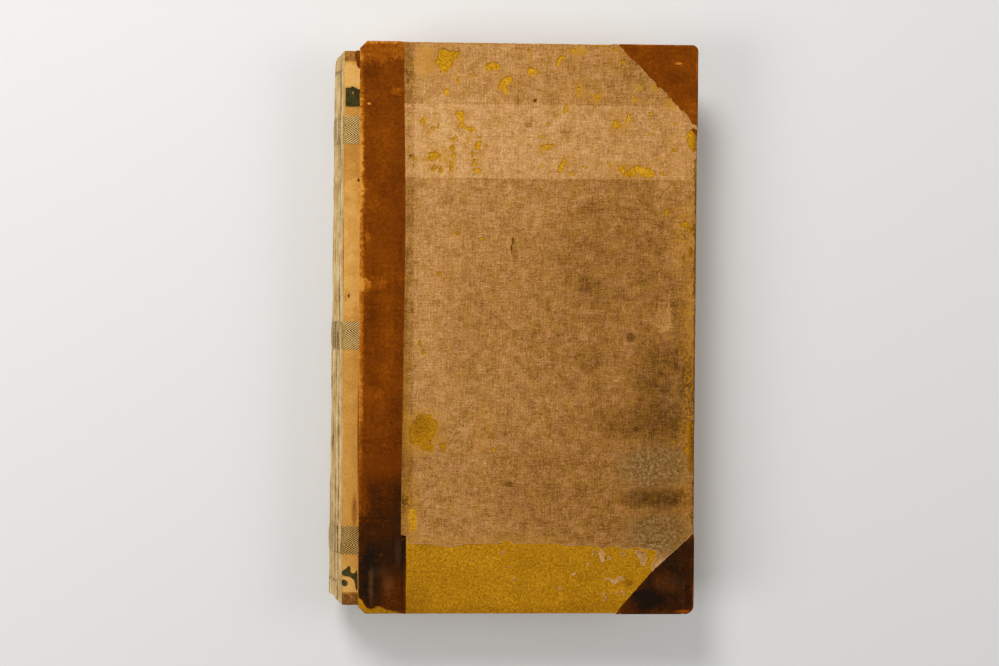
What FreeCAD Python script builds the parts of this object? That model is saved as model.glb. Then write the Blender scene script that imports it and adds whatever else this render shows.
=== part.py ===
import FreeCAD, Part
import Sketcher
import math
import os

# A half-leather account book, closed and lying on its back cover. X runs from the spine (-X) to
# the fore-edge (+X), +Y points to the head and +Z up. The origin is under the middle of the book.
# Each cover is drawn in a frame of its own: x from the board's spine edge, y from its middle and
# z from its inner face outwards. The back cover is that frame turned over about X.

doc = FreeCAD.newDocument("ledger")
sheet = doc.addObject("Spreadsheet::Sheet", "Sizes")

SIZES = {
    # Pasteboards
    "board_width": 194.0,
    "board_height": 328.8,
    "board_thick": 3.0,
    "spine_corner_cut": 4.0,
    "corner_round": 3.0,
    "worn_corner_round": 4.6,
    # Leather: the strip beside the spine, and the fore-edge corners by their two legs
    "leather_thick": 0.6,
    "pared_thick": 0.2,
    "strip_width": 24.5,
    "head_corner_x": 45.0,
    "head_corner_y": 47.8,
    "tail_corner_x": 45.8,
    "tail_corner_y": 44.4,
    "turn_in_width": 15.0,
    "turn_in_thick": 0.3,
    # Cloth sides, which lap over the pared edge of the leather, and pastedowns
    "siding_thick": 0.3,
    "siding_lap": 2.9,
    "paste_margin": 4.0,
    "paste_thick": 0.25,
    # Sewn leaves, with a spine that is rounder at the tail than at the head
    "head_square": 4.4,
    "fore_edge_square": 5.0,
    "leaves_thick": 32.0,
    "fore_edge_hollow": 4.0,
    "groove": 9.6,
    "round_at_head": 5.6,
    "round_at_tail": 8.0,
    "section_count": 12,
    "fold_bulge": 0.5,
    "lost_corner_x": 4.3,
    "lost_corner_y": 3.9,
    # Sewing tapes, the end ones by their middles from the ends of the leaves
    "tape_width": 16.0,
    "tape_thick": 0.5,
    "tape_from_head": 45.8,
    "tape_from_tail": 37.6,
    "middle_tape_drop": 4.0,
    # Paper strips over the joints, and the scraps that lie on them
    "joint_paper_inset": 6.5,
    "joint_paper_thick": 0.3,
    "joint_gap": 0.3,
    "leather_scrap_thick": 0.45,
    "leather_scrap_inset": 3.7,
    "leather_scrap_from_head": 10.1,
    "green_scrap_thick": 0.25,
    "green_head_inset": 8.4,
    "green_scrap_from_head": 31.8,
    "green_tail_inset": 9.7,
    "green_scrap_from_tail": 13.4,
    # Height that an opened cover keeps over what lies on the joint
    "open_clearance": 0.3,
}

for row, (alias, value) in enumerate(SIZES.items(), start=1):
    sheet.set(f"A{row}", alias)
    sheet.set(f"B{row}", str(value))
    sheet.setAlias(f"B{row}", alias)
doc.recompute()


def size(alias):
    return float(sheet.get(alias))


# Outlines of wear, in mm. The tear and the loss are measured from the board's spine edge and
# upwards from its tail edge, the worn patches from its spine edge and its middle, and the scraps
# from their own lower left corner.

LEATHER_TEAR = [(-1.0, 9.8), (2.2, 8.5), (3.4, 6.2), (5.1, 3.9), (8.6, 3.6), (10.3, 5.0),
                (12.0, 5.0), (15.5, 3.3), (21.2, 2.2), (24.5, 0.8), (28.0, 0.6)]
SIDING_TEAR = [(23.0, 46.5), (27.4, 46.0), (28.4, 40.7), (41.0, 40.7), (52.0, 38.7), (80.0, 41.3),
               (85.4, 42.8), (94.0, 40.1), (117.6, 40.1), (135.0, 39.6), (140.0, 37.8),
               (160.0, 38.2), (171.0, 36.3), (172.4, 33.2), (167.8, 25.2), (161.5, 13.0)]
WORN_PATCHES = {
    "lower_patch": [(30.5, -52.9), (35.1, -49.4), (40.9, -50.0), (44.9, -55.2), (45.5, -60.9),
                    (42.6, -66.1), (37.4, -71.9), (32.3, -68.4), (28.8, -63.2), (30.0, -57.5)],
    "upper_patch": [(148.0, 93.4), (153.8, 94.0), (161.9, 92.3), (168.8, 90.5), (169.9, 87.7),
                    (159.6, 86.5), (150.3, 88.8)],
}
LEATHER_SCRAP = [(0.2, 0.0), (3.4, 0.6), (3.4, 10.0), (0.0, 9.4), (0.7, 5.2)]
GREEN_HEAD_SCRAP = [(0.0, 0.0), (8.1, 0.3), (8.1, 10.2), (6.6, 8.8), (4.7, 10.0), (2.4, 8.5),
                    (0.2, 9.3)]
GREEN_TAIL_SCRAP = [(2.0, 1.6), (5.2, 0.0), (7.4, 0.4), (8.9, 4.2), (5.7, 5.4), (4.8, 9.8),
                    (0.2, 6.9)]

# Heights of the layers over the table

cover_stack = (size("leather_thick") + size("board_thick")
               + size("turn_in_thick") + size("paste_thick"))
inner_layers = size("turn_in_thick") + size("paste_thick")
leaves_bottom = cover_stack
leaves_top = leaves_bottom + size("leaves_thick")
tape_rise = size("joint_paper_thick") + size("tape_thick")
leaves_half = size("board_height") / 2 - size("head_square")
tape_y = {"head": leaves_half - size("tape_from_head"),
          "middle": -size("middle_tape_drop"),
          "tail": size("tape_from_tail") - leaves_half}


def spine_round(y):
    """How far the bare spine bulges out of the groove at height y."""
    share = 0.5 - y / (2 * leaves_half)
    return size("round_at_head") + share * (size("round_at_tail") - size("round_at_head"))


# The book is widest from the fore-edge to the lower edge of the tail tape

tape_over_folds = size("fold_bulge") + size("tape_thick")
lowest_tape_edge = tape_y["tail"] - size("tape_width") / 2
spine_reach = size("groove") + spine_round(lowest_tape_edge) + tape_over_folds
middle_x = (size("board_width") + size("leather_thick") - spine_reach) / 2

block_place = FreeCAD.Placement(FreeCAD.Vector(-middle_x, 0, 0), FreeCAD.Rotation())
front_place = FreeCAD.Placement(
    FreeCAD.Vector(-middle_x, 0, leaves_top + inner_layers), FreeCAD.Rotation())
back_place = FreeCAD.Placement(
    FreeCAD.Vector(-middle_x, 0, leaves_bottom - inner_layers),
    FreeCAD.Rotation(FreeCAD.Vector(1, 0, 0), 180))

# Expressions for the edges that the pieces share. A name after # is a cell of the sheet.

FORE_EDGE = "#board_width"
HEAD_EDGE = "#board_height / 2"
BOARD_FACE = "#board_thick"
LEATHER_FACE = "#board_thick + #leather_thick"
INNER_FACE = "-#turn_in_thick"
LEAVES_BOTTOM = "#leather_thick + #board_thick + #turn_in_thick + #paste_thick"
LEAVES_TOP = LEAVES_BOTTOM + " + #leaves_thick"
LEAVES_HEAD = f"{HEAD_EDGE} - #head_square"
BEYOND = 1.0


def cells(expression):
    return expression.replace("#", "Sizes.")


def minus(expression):
    return f"-({expression})"


def rectangle(left, low, right, high):
    return [(left, low), (right, low), (right, high), (left, high)]


def mirrored(corners):
    """The same corners at the tail instead of the head."""
    return [(x, minus(y)) for x, y in corners]


# Bodies made of prisms whose corners are held by the sheet

def new_body(label, place):
    body = doc.addObject("PartDesign::Body", label)
    body.Label = label
    body.Placement = place
    return body


def outline_sketch(body, name, corners, low):
    """A closed polygon at height low, each corner's x and y held by an expression."""
    plane = next(item for item in body.Origin.OriginFeatures if item.Role == "XY_Plane")
    sketch = body.newObject("Sketcher::SketchObject", name)
    sketch.AttachmentSupport = [(plane, "")]
    sketch.MapMode = "FlatFace"
    sketch.setExpression("AttachmentOffset.Base.z", cells(low))
    count = len(corners)
    ring = [FreeCAD.Vector(math.cos(2 * math.pi * i / count), math.sin(2 * math.pi * i / count), 0)
            for i in range(count)]
    for i in range(count):
        sketch.addGeometry(Part.LineSegment(ring[i], ring[(i + 1) % count]), False)
    for i in range(count):
        sketch.addConstraint(Sketcher.Constraint("Coincident", i, 2, (i + 1) % count, 1))
    for i, (x, y) in enumerate(corners):
        across = sketch.addConstraint(Sketcher.Constraint("DistanceX", -1, 1, i, 1, ring[i].x))
        sketch.setExpression(f"Constraints[{across}]", cells(x))
        along = sketch.addConstraint(Sketcher.Constraint("DistanceY", -1, 1, i, 1, ring[i].y))
        sketch.setExpression(f"Constraints[{along}]", cells(y))
    return sketch


def prism(body, name, corners, low, height, cut=False):
    """Add a prism to a body, or cut one from it, from height low upwards."""
    sketch = outline_sketch(body, f"{body.Label}_{name}_outline", corners, low)
    before = body.Shape.Volume if cut else 0.0
    feature = body.newObject("PartDesign::Pocket" if cut else "PartDesign::Pad",
                             f"{body.Label}_{name}")
    feature.Profile = sketch
    feature.setExpression("Length", cells(height))
    feature.Reversed = cut
    doc.recompute()
    if cut and body.Shape.Volume > before - 1e-6:
        raise ValueError(f"{body.Label}: {name} cuts nothing")
    return feature


def upright_edge(feature, x, y):
    """The name of the upright edge nearest to a corner."""
    found = []
    for number, edge in enumerate(feature.Shape.Edges, start=1):
        start, end = edge.Vertexes[0].Point, edge.Vertexes[-1].Point
        if abs(start.z - end.z) > 1e-6 and math.hypot(start.x - end.x, start.y - end.y) < 1e-6:
            found.append((math.hypot(start.x - x, start.y - y), f"Edge{number}"))
    return min(found)[1]


def dress_corner(body, kind, name, corners, amount):
    """Fillet or chamfer the upright edges of a body at some corners."""
    base = body.Tip
    feature = body.newObject(f"PartDesign::{kind}", f"{body.Label}_{name}")
    feature.Base = (base, [upright_edge(base, x, y) for x, y in corners])
    feature.setExpression("Radius" if kind == "Fillet" else "Size", cells(amount))
    doc.recompute()
    return feature


def cut_by(label, base, tools):
    """A sub-part that is one body less the pieces that it is fitted over."""
    tool = tools[0]
    if len(tools) > 1:
        tool = doc.addObject("Part::MultiFuse", f"{label}_under")
        tool.Shapes = tools
    result = doc.addObject("Part::Cut", label)
    result.Label = label
    result.Base = base
    result.Tool = tool
    doc.recompute()
    return result


# Covers

def make_board(side, place, head_round, tail_round):
    board = new_body(f"{side}_board", place)
    prism(board, "plate", rectangle("0", minus(HEAD_EDGE), FORE_EDGE, HEAD_EDGE), "0", BOARD_FACE)
    width, half = size("board_width"), size("board_height") / 2
    dress_corner(board, "Chamfer", "spine_corners", [(0, half), (0, -half)], "#spine_corner_cut")
    dress_corner(board, "Fillet", "head_corner", [(width, half)], head_round)
    dress_corner(board, "Fillet", "tail_corner", [(width, -half)], tail_round)
    return board


def make_spine_leather(side, place, board, torn):
    """The strip beside the spine: over the face, round head and tail, and turned in."""
    strip = new_body(f"{side}_spine_leather_blank", place)
    edge = f"{HEAD_EDGE} + #leather_thick"
    cut_start = f"{HEAD_EDGE} - #spine_corner_cut + #leather_thick * sqrt(2)"
    cut_end = "#spine_corner_cut - #leather_thick * (sqrt(2) - 1)"
    half = [("0", cut_start), (cut_end, edge), ("#strip_width", edge)]
    whole = half + list(reversed(mirrored(half)))
    prism(strip, "wrap", whole, INNER_FACE, f"{LEATHER_FACE} + #turn_in_thick")
    lapped = "#strip_width + #siding_lap"
    prism(strip, "pared", rectangle("#strip_width", minus(HEAD_EDGE), lapped, HEAD_EDGE),
          BOARD_FACE, "#pared_thick")
    turned = f"{HEAD_EDGE} - #turn_in_width"
    inside_low = minus(f"{HEAD_EDGE} + {BEYOND}") if torn else minus(turned)
    prism(strip, "inside", rectangle(f"-{BEYOND}", inside_low, f"{lapped} + {BEYOND}", turned),
          INNER_FACE, "#turn_in_thick", cut=True)
    if torn:
        tear = [(f"{x}", f"{y} - {HEAD_EDGE}") for x, y in LEATHER_TEAR]
        past_edge = minus(f"{edge} + {BEYOND}")
        tear += [(f"{LEATHER_TEAR[-1][0]}", past_edge), (f"{LEATHER_TEAR[0][0]}", past_edge)]
        prism(strip, "tear", tear, INNER_FACE, f"{LEATHER_FACE} + #turn_in_thick", cut=True)
    return cut_by(f"{side}_spine_leather", strip, [board])


def corner_lap(end):
    """How far the lap runs past a leather corner along the two edges of the board."""
    legs = f"sqrt(#{end}_corner_x ^ 2 + #{end}_corner_y ^ 2)"
    return f"#siding_lap * {legs} / #{end}_corner_y", f"#siding_lap * {legs} / #{end}_corner_x"


def make_corner(side, place, board, end, board_round):
    """A leather corner: a triangle on the face, wrapped round both edges and turned in."""
    corner = new_body(f"{side}_corner_{end}_blank", place)
    flip = list if end == "head" else mirrored
    start_x = f"{FORE_EDGE} - #{end}_corner_x"
    start_y = f"{HEAD_EDGE} - #{end}_corner_y"
    out_x = f"{FORE_EDGE} + #leather_thick"
    out_y = f"{HEAD_EDGE} + #leather_thick"
    wrap = [(start_x, out_y), (out_x, out_y), (out_x, start_y), (FORE_EDGE, start_y),
            (start_x, HEAD_EDGE)]
    prism(corner, "wrap", flip(wrap), INNER_FACE, f"{LEATHER_FACE} + #turn_in_thick")
    tip_x = size("board_width") + size("leather_thick")
    tip_y = size("board_height") / 2 + size("leather_thick")
    dress_corner(corner, "Fillet", "tip", [(tip_x, tip_y if end == "head" else -tip_y)],
                 f"{board_round} + #leather_thick")
    lap_x, lap_y = corner_lap(end)
    pared = [(start_x, HEAD_EDGE), (FORE_EDGE, start_y), (FORE_EDGE, f"{start_y} - {lap_y}"),
             (f"{start_x} - {lap_x}", HEAD_EDGE)]
    prism(corner, "pared", flip(pared), BOARD_FACE, "#pared_thick")
    inside = rectangle(f"{start_x} - {BEYOND}", f"{start_y} - {BEYOND}",
                       f"{FORE_EDGE} - #turn_in_width", f"{HEAD_EDGE} - #turn_in_width")
    prism(corner, "inside", flip(inside), INNER_FACE, "#turn_in_thick", cut=True)
    return cut_by(f"{side}_corner_{end}", corner, [board])


def make_siding(side, place, under, torn):
    """The cloth side, stepped up where it laps over the leather, with its turn-ins."""
    siding = new_body(f"{side}_siding_blank", place)
    out_x = f"{FORE_EDGE} + #siding_thick"
    out_y = f"{HEAD_EDGE} + #siding_thick"
    outer = []
    for end, flip in (("head", list), ("tail", mirrored)):
        start_x = f"{FORE_EDGE} - #{end}_corner_x"
        start_y = f"{HEAD_EDGE} - #{end}_corner_y"
        half = flip([("#strip_width", out_y), (start_x, out_y), (start_x, HEAD_EDGE),
                     (FORE_EDGE, start_y), (out_x, start_y)])
        outer += half if end == "head" else reversed(half)
    top = f"{BOARD_FACE} + #pared_thick + #siding_thick"
    prism(siding, "sheet", outer, INNER_FACE, f"{top} + #turn_in_thick")
    level = []
    for end, flip in (("head", list), ("tail", mirrored)):
        lap_x, lap_y = corner_lap(end)
        slope = f"#{end}_corner_x / #{end}_corner_y"
        lapped_x = f"{FORE_EDGE} - #{end}_corner_x - ({lap_x})"
        lapped_y = f"{HEAD_EDGE} - #{end}_corner_y - ({lap_y})"
        half = flip([("#strip_width + #siding_lap", f"{HEAD_EDGE} + {BEYOND}"),
                     (f"{lapped_x} - {BEYOND} * {slope}", f"{HEAD_EDGE} + {BEYOND}"),
                     (f"{FORE_EDGE} + {BEYOND}", f"{lapped_y} - {BEYOND} / ({slope})")])
        level += half if end == "head" else reversed(half)
    prism(siding, "level", level, f"{BOARD_FACE} + #siding_thick", "#pared_thick", cut=True)
    turned = f"{HEAD_EDGE} - #turn_in_width"
    inside_low = minus(f"{HEAD_EDGE} - #tail_corner_y") if torn else minus(turned)
    prism(siding, "inside", rectangle(f"#strip_width - {BEYOND}", inside_low,
                                      f"{FORE_EDGE} - #turn_in_width", turned),
          INNER_FACE, "#turn_in_thick", cut=True)
    if torn:
        wear_siding(siding, top)
    return cut_by(f"{side}_siding", siding, under)


def wear_siding(siding, top):
    """The cloth lost at the tail, with its turn-in, and the patches worn through."""
    height = f"{top} + #turn_in_thick"
    past_edge = minus(f"{HEAD_EDGE} + #siding_thick + {BEYOND}")
    tear = [(f"{x}", f"{y} - {HEAD_EDGE}") for x, y in SIDING_TEAR]
    tear += [(f"{SIDING_TEAR[-1][0]}", past_edge), (f"{SIDING_TEAR[0][0]}", past_edge)]
    prism(siding, "tail_loss", tear, INNER_FACE, height, cut=True)
    prism(siding, "turn_in_loss",
          rectangle(f"#strip_width - {BEYOND}", past_edge, FORE_EDGE,
                    minus(f"{HEAD_EDGE} - #tail_corner_y")),
          INNER_FACE, "#turn_in_thick", cut=True)
    for name, outline in WORN_PATCHES.items():
        patch = [(f"{x}", f"{y}") for x, y in outline]
        prism(siding, name, patch, BOARD_FACE, f"#pared_thick + #siding_thick", cut=True)


def make_pastedown(side, place):
    """The paper inside a cover: flat on the board, and stepped up over the turn-ins."""
    paste = new_body(f"{side}_pastedown", place)
    rim = f"{HEAD_EDGE} - #paste_margin"
    turned = f"{HEAD_EDGE} - #turn_in_width"
    prism(paste, "sheet", rectangle("0", minus(rim), f"{FORE_EDGE} - #paste_margin", rim),
          "-(#turn_in_thick + #paste_thick)", "#paste_thick")
    prism(paste, "well", rectangle("0", minus(turned), f"{FORE_EDGE} - #turn_in_width", turned),
          INNER_FACE, "#turn_in_thick")
    floor = f"{turned} - #paste_thick"
    prism(paste, "hollow",
          rectangle(f"-{BEYOND}", minus(floor),
                    f"{FORE_EDGE} - #turn_in_width - #paste_thick", floor),
          "-(#turn_in_thick + #paste_thick)", "#turn_in_thick", cut=True)
    return paste


def make_cover(side, place, torn, tail_round):
    board = make_board(side, place, "#corner_round", tail_round)
    strip = make_spine_leather(side, place, board, torn)
    head = make_corner(side, place, board, "head", "#corner_round")
    tail = make_corner(side, place, board, "tail", tail_round)
    siding = make_siding(side, place, [board, strip, head, tail], torn)
    return [board, strip, head, tail, siding, make_pastedown(side, place)]


# Leaves and what is sewn or stuck to their spine

def spine_arc(y):
    """Centre and radius of the round of the spine at height y."""
    bulge = spine_round(y)
    half_chord = size("leaves_thick") / 2
    radius = (half_chord ** 2 + bulge ** 2) / (2 * bulge)
    return -size("groove") - bulge + radius, radius


def leaves_section(y):
    """Cross-section: ribbed round spine, flat top and foot, hollow fore-edge."""
    centre_x, radius = spine_arc(y)
    centre_z = (leaves_bottom + leaves_top) / 2
    half_angle = math.asin(size("leaves_thick") / 2 / radius)
    folds = int(size("section_count"))

    def on_spine(turn, out=0.0):
        angle = half_angle * turn
        return FreeCAD.Vector(centre_x - (radius + out) * math.cos(angle), y,
                              centre_z + (radius + out) * math.sin(angle))

    edges = []
    for fold in range(folds):
        start, end = 1 - 2 * fold / folds, 1 - 2 * (fold + 1) / folds
        edges.append(Part.Arc(on_spine(start), on_spine((start + end) / 2, size("fold_bulge")),
                              on_spine(end)).toShape())
    fore_x = size("board_width") - size("fore_edge_square")
    top_spine, foot_spine = on_spine(1), on_spine(-1)
    top_fore = FreeCAD.Vector(fore_x, y, leaves_top)
    foot_fore = FreeCAD.Vector(fore_x, y, leaves_bottom)
    hollow = FreeCAD.Vector(fore_x - size("fore_edge_hollow"), y, centre_z)
    edges.append(Part.LineSegment(foot_spine, foot_fore).toShape())
    edges.append(Part.Arc(foot_fore, hollow, top_fore).toShape())
    edges.append(Part.LineSegment(top_fore, top_spine).toShape())
    return Part.Wire(edges)


def feature(label, shape, place):
    item = doc.addObject("Part::Feature", label)
    item.Label = label
    item.Shape = shape
    item.Placement = place
    return item


def make_leaves():
    ends = [leaves_section(-leaves_half), leaves_section(leaves_half)]
    block = feature("leaves_blank", Part.makeLoft(ends, True, True), block_place)
    lost = new_body("leaves_lost_corner", block_place)
    spine_x = "-(#groove + #round_at_head + #fold_bulge)"
    start_y = f"{LEAVES_HEAD} - #lost_corner_y"
    corner = [(spine_x, start_y), (f"{spine_x} + #lost_corner_x", LEAVES_HEAD),
              (f"{spine_x} + #lost_corner_x", f"{LEAVES_HEAD} + {BEYOND}"),
              (f"{spine_x} - {BEYOND}", f"{LEAVES_HEAD} + {BEYOND}"),
              (f"{spine_x} - {BEYOND}", start_y)]
    prism(lost, "corner", corner, LEAVES_BOTTOM, "#leaves_thick")
    return cut_by("leaves", block, [lost])


def tape_section(y):
    """Outer line of a tape: flat over both joints and round the spine between them."""
    centre_x, radius = spine_arc(y)
    centre_z = (leaves_bottom + leaves_top) / 2
    outer = radius + tape_over_folds
    half_height = size("leaves_thick") / 2 + tape_rise
    bend_x = centre_x - math.sqrt(outer ** 2 - half_height ** 2)
    end_x = -size("joint_gap")
    corners = [FreeCAD.Vector(end_x, y, centre_z + half_height),
               FreeCAD.Vector(bend_x, y, centre_z + half_height),
               FreeCAD.Vector(bend_x, y, centre_z - half_height),
               FreeCAD.Vector(end_x, y, centre_z - half_height)]
    crown = FreeCAD.Vector(centre_x - outer, y, centre_z)
    return Part.Wire([Part.LineSegment(corners[0], corners[1]).toShape(),
                      Part.Arc(corners[1], crown, corners[2]).toShape(),
                      Part.LineSegment(corners[2], corners[3]).toShape(),
                      Part.LineSegment(corners[3], corners[0]).toShape()])


def make_tape(end, under):
    half = size("tape_width") / 2
    edges = [tape_section(tape_y[end] - half), tape_section(tape_y[end] + half)]
    band = Part.makeLoft(edges, True, True)
    return cut_by(f"tape_{end}", feature(f"tape_{end}_blank", band, block_place), under)


def make_joint_paper(side, low):
    paper = new_body(f"{side}_joint_paper", block_place)
    end = f"{LEAVES_HEAD} - #joint_paper_inset"
    prism(paper, "strip", rectangle("-#groove", minus(end), "-#joint_gap", end), low,
          "#joint_paper_thick")
    return paper


def make_scrap(label, outline, corner_x, corner_y, low, height):
    scrap = new_body(label, block_place)
    corners = [(f"{corner_x} + {x}", f"{corner_y} + {y}") for x, y in outline]
    prism(scrap, "sheet", corners, low, height)
    return scrap


def make_text_block():
    leaves = make_leaves()
    front_paper = make_joint_paper("front", LEAVES_TOP)
    back_paper = make_joint_paper("back", f"{LEAVES_BOTTOM} - #joint_paper_thick")
    pieces = [leaves, front_paper, back_paper]
    pieces += [make_tape(end, [leaves, front_paper, back_paper])
               for end in ("head", "middle", "tail")]
    leather = make_scrap("spine_leather_scrap_blank", LEATHER_SCRAP, "-#leather_scrap_inset",
                         f"{LEAVES_HEAD} - #leather_scrap_from_head", LEAVES_TOP,
                         "#joint_paper_thick + #leather_scrap_thick")
    pieces.append(cut_by("spine_leather_scrap", leather, [front_paper]))
    on_paper = f"{LEAVES_TOP} + #joint_paper_thick"
    pieces.append(make_scrap("green_scrap_head", GREEN_HEAD_SCRAP, "-#green_head_inset",
                             f"{LEAVES_HEAD} - #green_scrap_from_head", on_paper,
                             "#green_scrap_thick"))
    pieces.append(make_scrap("green_scrap_tail", GREEN_TAIL_SCRAP, "-#green_tail_inset",
                             f"#green_scrap_from_tail - ({LEAVES_HEAD})", on_paper,
                             "#green_scrap_thick"))
    return pieces


# Checks, joint axes and files

def check(pieces):
    doc.recompute()
    for item in doc.Objects:
        if {"Invalid", "Error"} & set(item.State):
            raise ValueError(f"{item.Label} failed: {item.State}")
    for piece in pieces:
        if piece.Shape.isNull() or not piece.Shape.isValid() or len(piece.Shape.Solids) != 1:
            raise ValueError(f"{piece.Label} isn't one valid solid")


def report(pieces):
    whole = FreeCAD.BoundBox()
    for piece in pieces:
        whole.add(piece.Shape.optimalBoundingBox())
        print(f"{piece.Label}: {piece.Shape.Volume:.1f} mm3")
    lift = (cover_stack + tape_rise + size("open_clearance")) / 2
    hinge_x = -middle_x - size("groove") / 2
    print(f"Box {whole.XLength:.3f} x {whole.YLength:.3f} x {whole.ZLength:.3f}, middle "
          f"{whole.Center.x:.4f}, {whole.Center.y:.4f}, foot {whole.ZMin:.4f}")
    print(f"Front cover axis x {hinge_x:.3f}, z {leaves_top + lift:.3f}")
    print(f"Back cover axis x {hinge_x:.3f}, z {leaves_bottom - lift:.3f}")


parts = make_text_block()
parts += make_cover("front", front_place, True, "#worn_corner_round")
parts += make_cover("back", back_place, False, "#corner_round")
check(parts)
report(parts)
os.makedirs("parts", exist_ok=True)
for part in parts:
    part.Shape.exportStep(f"parts/{part.Label}.step")
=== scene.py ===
# %% [markdown]
# # A half-leather account book that has lost its spine
#
# The book lies shut on its back cover. Each cover is pasteboard with a strip of leather beside the
# joint, two leather corners at the fore-edge, and cloth over the rest. The leather spine is gone, so
# the folds of the leaves, the three sewing tapes and the paper over the joints lie bare.
#
# Every length in this script is in millimetres until a mesh is made, because that is how a binder
# would give it. The CAD model is loaded first and stays as it is: it says where each piece belongs.

# %% Load the frame
import math
import random

import bmesh
import bpy
import numpy as np
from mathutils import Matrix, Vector, kdtree, noise
from mathutils.geometry import delaunay_2d_cdt


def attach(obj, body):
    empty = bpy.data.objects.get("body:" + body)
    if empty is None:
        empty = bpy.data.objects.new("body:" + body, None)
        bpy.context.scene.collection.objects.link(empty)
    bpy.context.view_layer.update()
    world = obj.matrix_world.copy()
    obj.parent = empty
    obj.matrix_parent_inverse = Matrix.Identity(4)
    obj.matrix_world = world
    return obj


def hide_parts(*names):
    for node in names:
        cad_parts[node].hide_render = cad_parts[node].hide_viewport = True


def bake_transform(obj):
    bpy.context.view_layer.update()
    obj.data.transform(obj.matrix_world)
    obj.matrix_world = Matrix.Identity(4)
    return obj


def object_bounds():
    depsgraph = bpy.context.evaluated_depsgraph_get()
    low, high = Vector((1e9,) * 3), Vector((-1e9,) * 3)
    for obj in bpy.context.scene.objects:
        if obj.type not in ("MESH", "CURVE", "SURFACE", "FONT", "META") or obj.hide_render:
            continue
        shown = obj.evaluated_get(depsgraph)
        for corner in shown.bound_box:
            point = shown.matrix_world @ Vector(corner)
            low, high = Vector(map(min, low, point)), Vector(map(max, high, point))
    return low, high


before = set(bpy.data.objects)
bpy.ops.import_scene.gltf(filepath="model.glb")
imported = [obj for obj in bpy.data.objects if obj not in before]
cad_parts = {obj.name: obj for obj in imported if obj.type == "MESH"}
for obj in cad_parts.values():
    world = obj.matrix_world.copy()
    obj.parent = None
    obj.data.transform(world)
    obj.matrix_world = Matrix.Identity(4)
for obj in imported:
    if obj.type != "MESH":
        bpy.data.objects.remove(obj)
cad_box = [list(corner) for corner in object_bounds()]
MM = 0.001
COVER_TOP = cad_box[1][2] / MM
print("CAD box in mm:", [[round(v / MM, 2) for v in corner] for corner in cad_box])

# %% [markdown]
# ## The camera
#
# The photograph is taken from straight above, with the camera a little to the left of the book's
# middle. The camera comes first, because the wear on the cover is placed through it: a mark is read
# off the photograph in pixels, and a ray through that pixel meets the face of the cover where the
# mark belongs.

# %% Camera and the way from a pixel to the cover
PICTURE = (999, 666)
camera = bpy.data.objects.new("camera", bpy.data.cameras.new("camera"))
bpy.context.scene.collection.objects.link(camera)
bpy.context.scene.camera = camera
camera.location = (-0.03788, 0.01017, 0.8403)
camera.rotation_euler = [math.radians(a) for a in (-0.891, -2.163, 0.376)]
camera.data.lens = 50.1
camera.data.sensor_width = 36.0
camera_turn = camera.rotation_euler.to_matrix()


def cover_point(px, py, height=COVER_TOP):
    """The point on the face of the front cover that shows at a pixel, in millimetres."""
    focal = camera.data.lens / camera.data.sensor_width * PICTURE[0]
    ray = camera_turn @ Vector(((px - PICTURE[0] / 2) / focal, (PICTURE[1] / 2 - py) / focal, -1))
    hit = camera.location + ray * ((height * MM - camera.location.z) / ray.z)
    return hit.x / MM, hit.y / MM


PIXEL = (cover_point(600, 300)[0] - cover_point(500, 300)[0]) / 100
print("One pixel on the cover is", round(PIXEL, 3), "mm")

# %% [markdown]
# ## Floor and light
#
# The book is shown on a plain pale floor. Three large soft lamps stand round it at half height, as
# for copy work, so that nothing shines straight into the camera and dark leather keeps its colour.
# With a weak even world they give a level at which a colour renders about as it is written.

# %% Floor, lamps and world
floor_mesh = bpy.data.meshes.new("floor")
floor_mesh.from_pydata([(-3, -3, 0), (3, -3, 0), (3, 3, 0), (-3, 3, 0)], [], [(0, 1, 2, 3)])
floor = bpy.data.objects.new("floor", floor_mesh)
bpy.context.scene.collection.objects.link(floor)
floor.location.z = -0.0002


def soft_lamp(name, place, size, watts):
    lamp = bpy.data.objects.new(name, bpy.data.lights.new(name, "AREA"))
    lamp.data.shape, lamp.data.size, lamp.data.energy = "DISK", size, watts
    lamp.location = place
    lamp.rotation_euler = (Vector((0, 0, 0.02)) - Vector(place)).to_track_quat("-Z", "Y").to_euler()
    bpy.context.scene.collection.objects.link(lamp)


soft_lamp("lamp_head", (-0.45, 1.05, 1.05), 0.6, 14.0)
soft_lamp("lamp_left", (-1.25, -0.3, 1.05), 0.8, 8.0)
soft_lamp("lamp_right", (1.25, 0.1, 1.05), 0.8, 5.0)
world = bpy.data.worlds.new("world")
bpy.context.scene.world = world
world.use_nodes = True
world.node_tree.nodes["Background"].inputs["Color"].default_value = (1, 1, 1, 1)
world.node_tree.nodes["Background"].inputs["Strength"].default_value = 0.3
bpy.context.scene.view_settings.view_transform = "Standard"

# %% [markdown]
# ## Small tools for materials
#
# Every finish below is a few textures that end in one Principled shader. A Value stands for what a
# node gives, so that sums of textures can be written as sums. The other helpers turn a colour that
# was read off the photograph into a linear one, add a node and join its inputs, and begin and end a
# material.

# %% Node helpers
def colour(red, green, blue):
    """A colour read off a picture, 0 to 255, as a linear colour."""
    def linear(c):
        c /= 255
        return c / 12.92 if c <= 0.04045 else ((c + 0.055) / 1.055) ** 2.4
    return linear(red), linear(green), linear(blue), 1.0


def plug(tree, socket, value):
    """Join a node's output to a socket, or set the socket to a plain value."""
    if isinstance(value, Value):
        tree.links.new(value.socket, socket)
    else:
        socket.default_value = value


def node(tree, kind, inputs=None, **settings):
    """Add a node and give back its first output. An input is a plain value or an output to join."""
    made = tree.nodes.new(kind)
    for name, value in settings.items():
        setattr(made, name, value)
    for key, value in (inputs or {}).items():
        plug(tree, made.inputs[key], value)
    return Value(tree, made)


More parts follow.
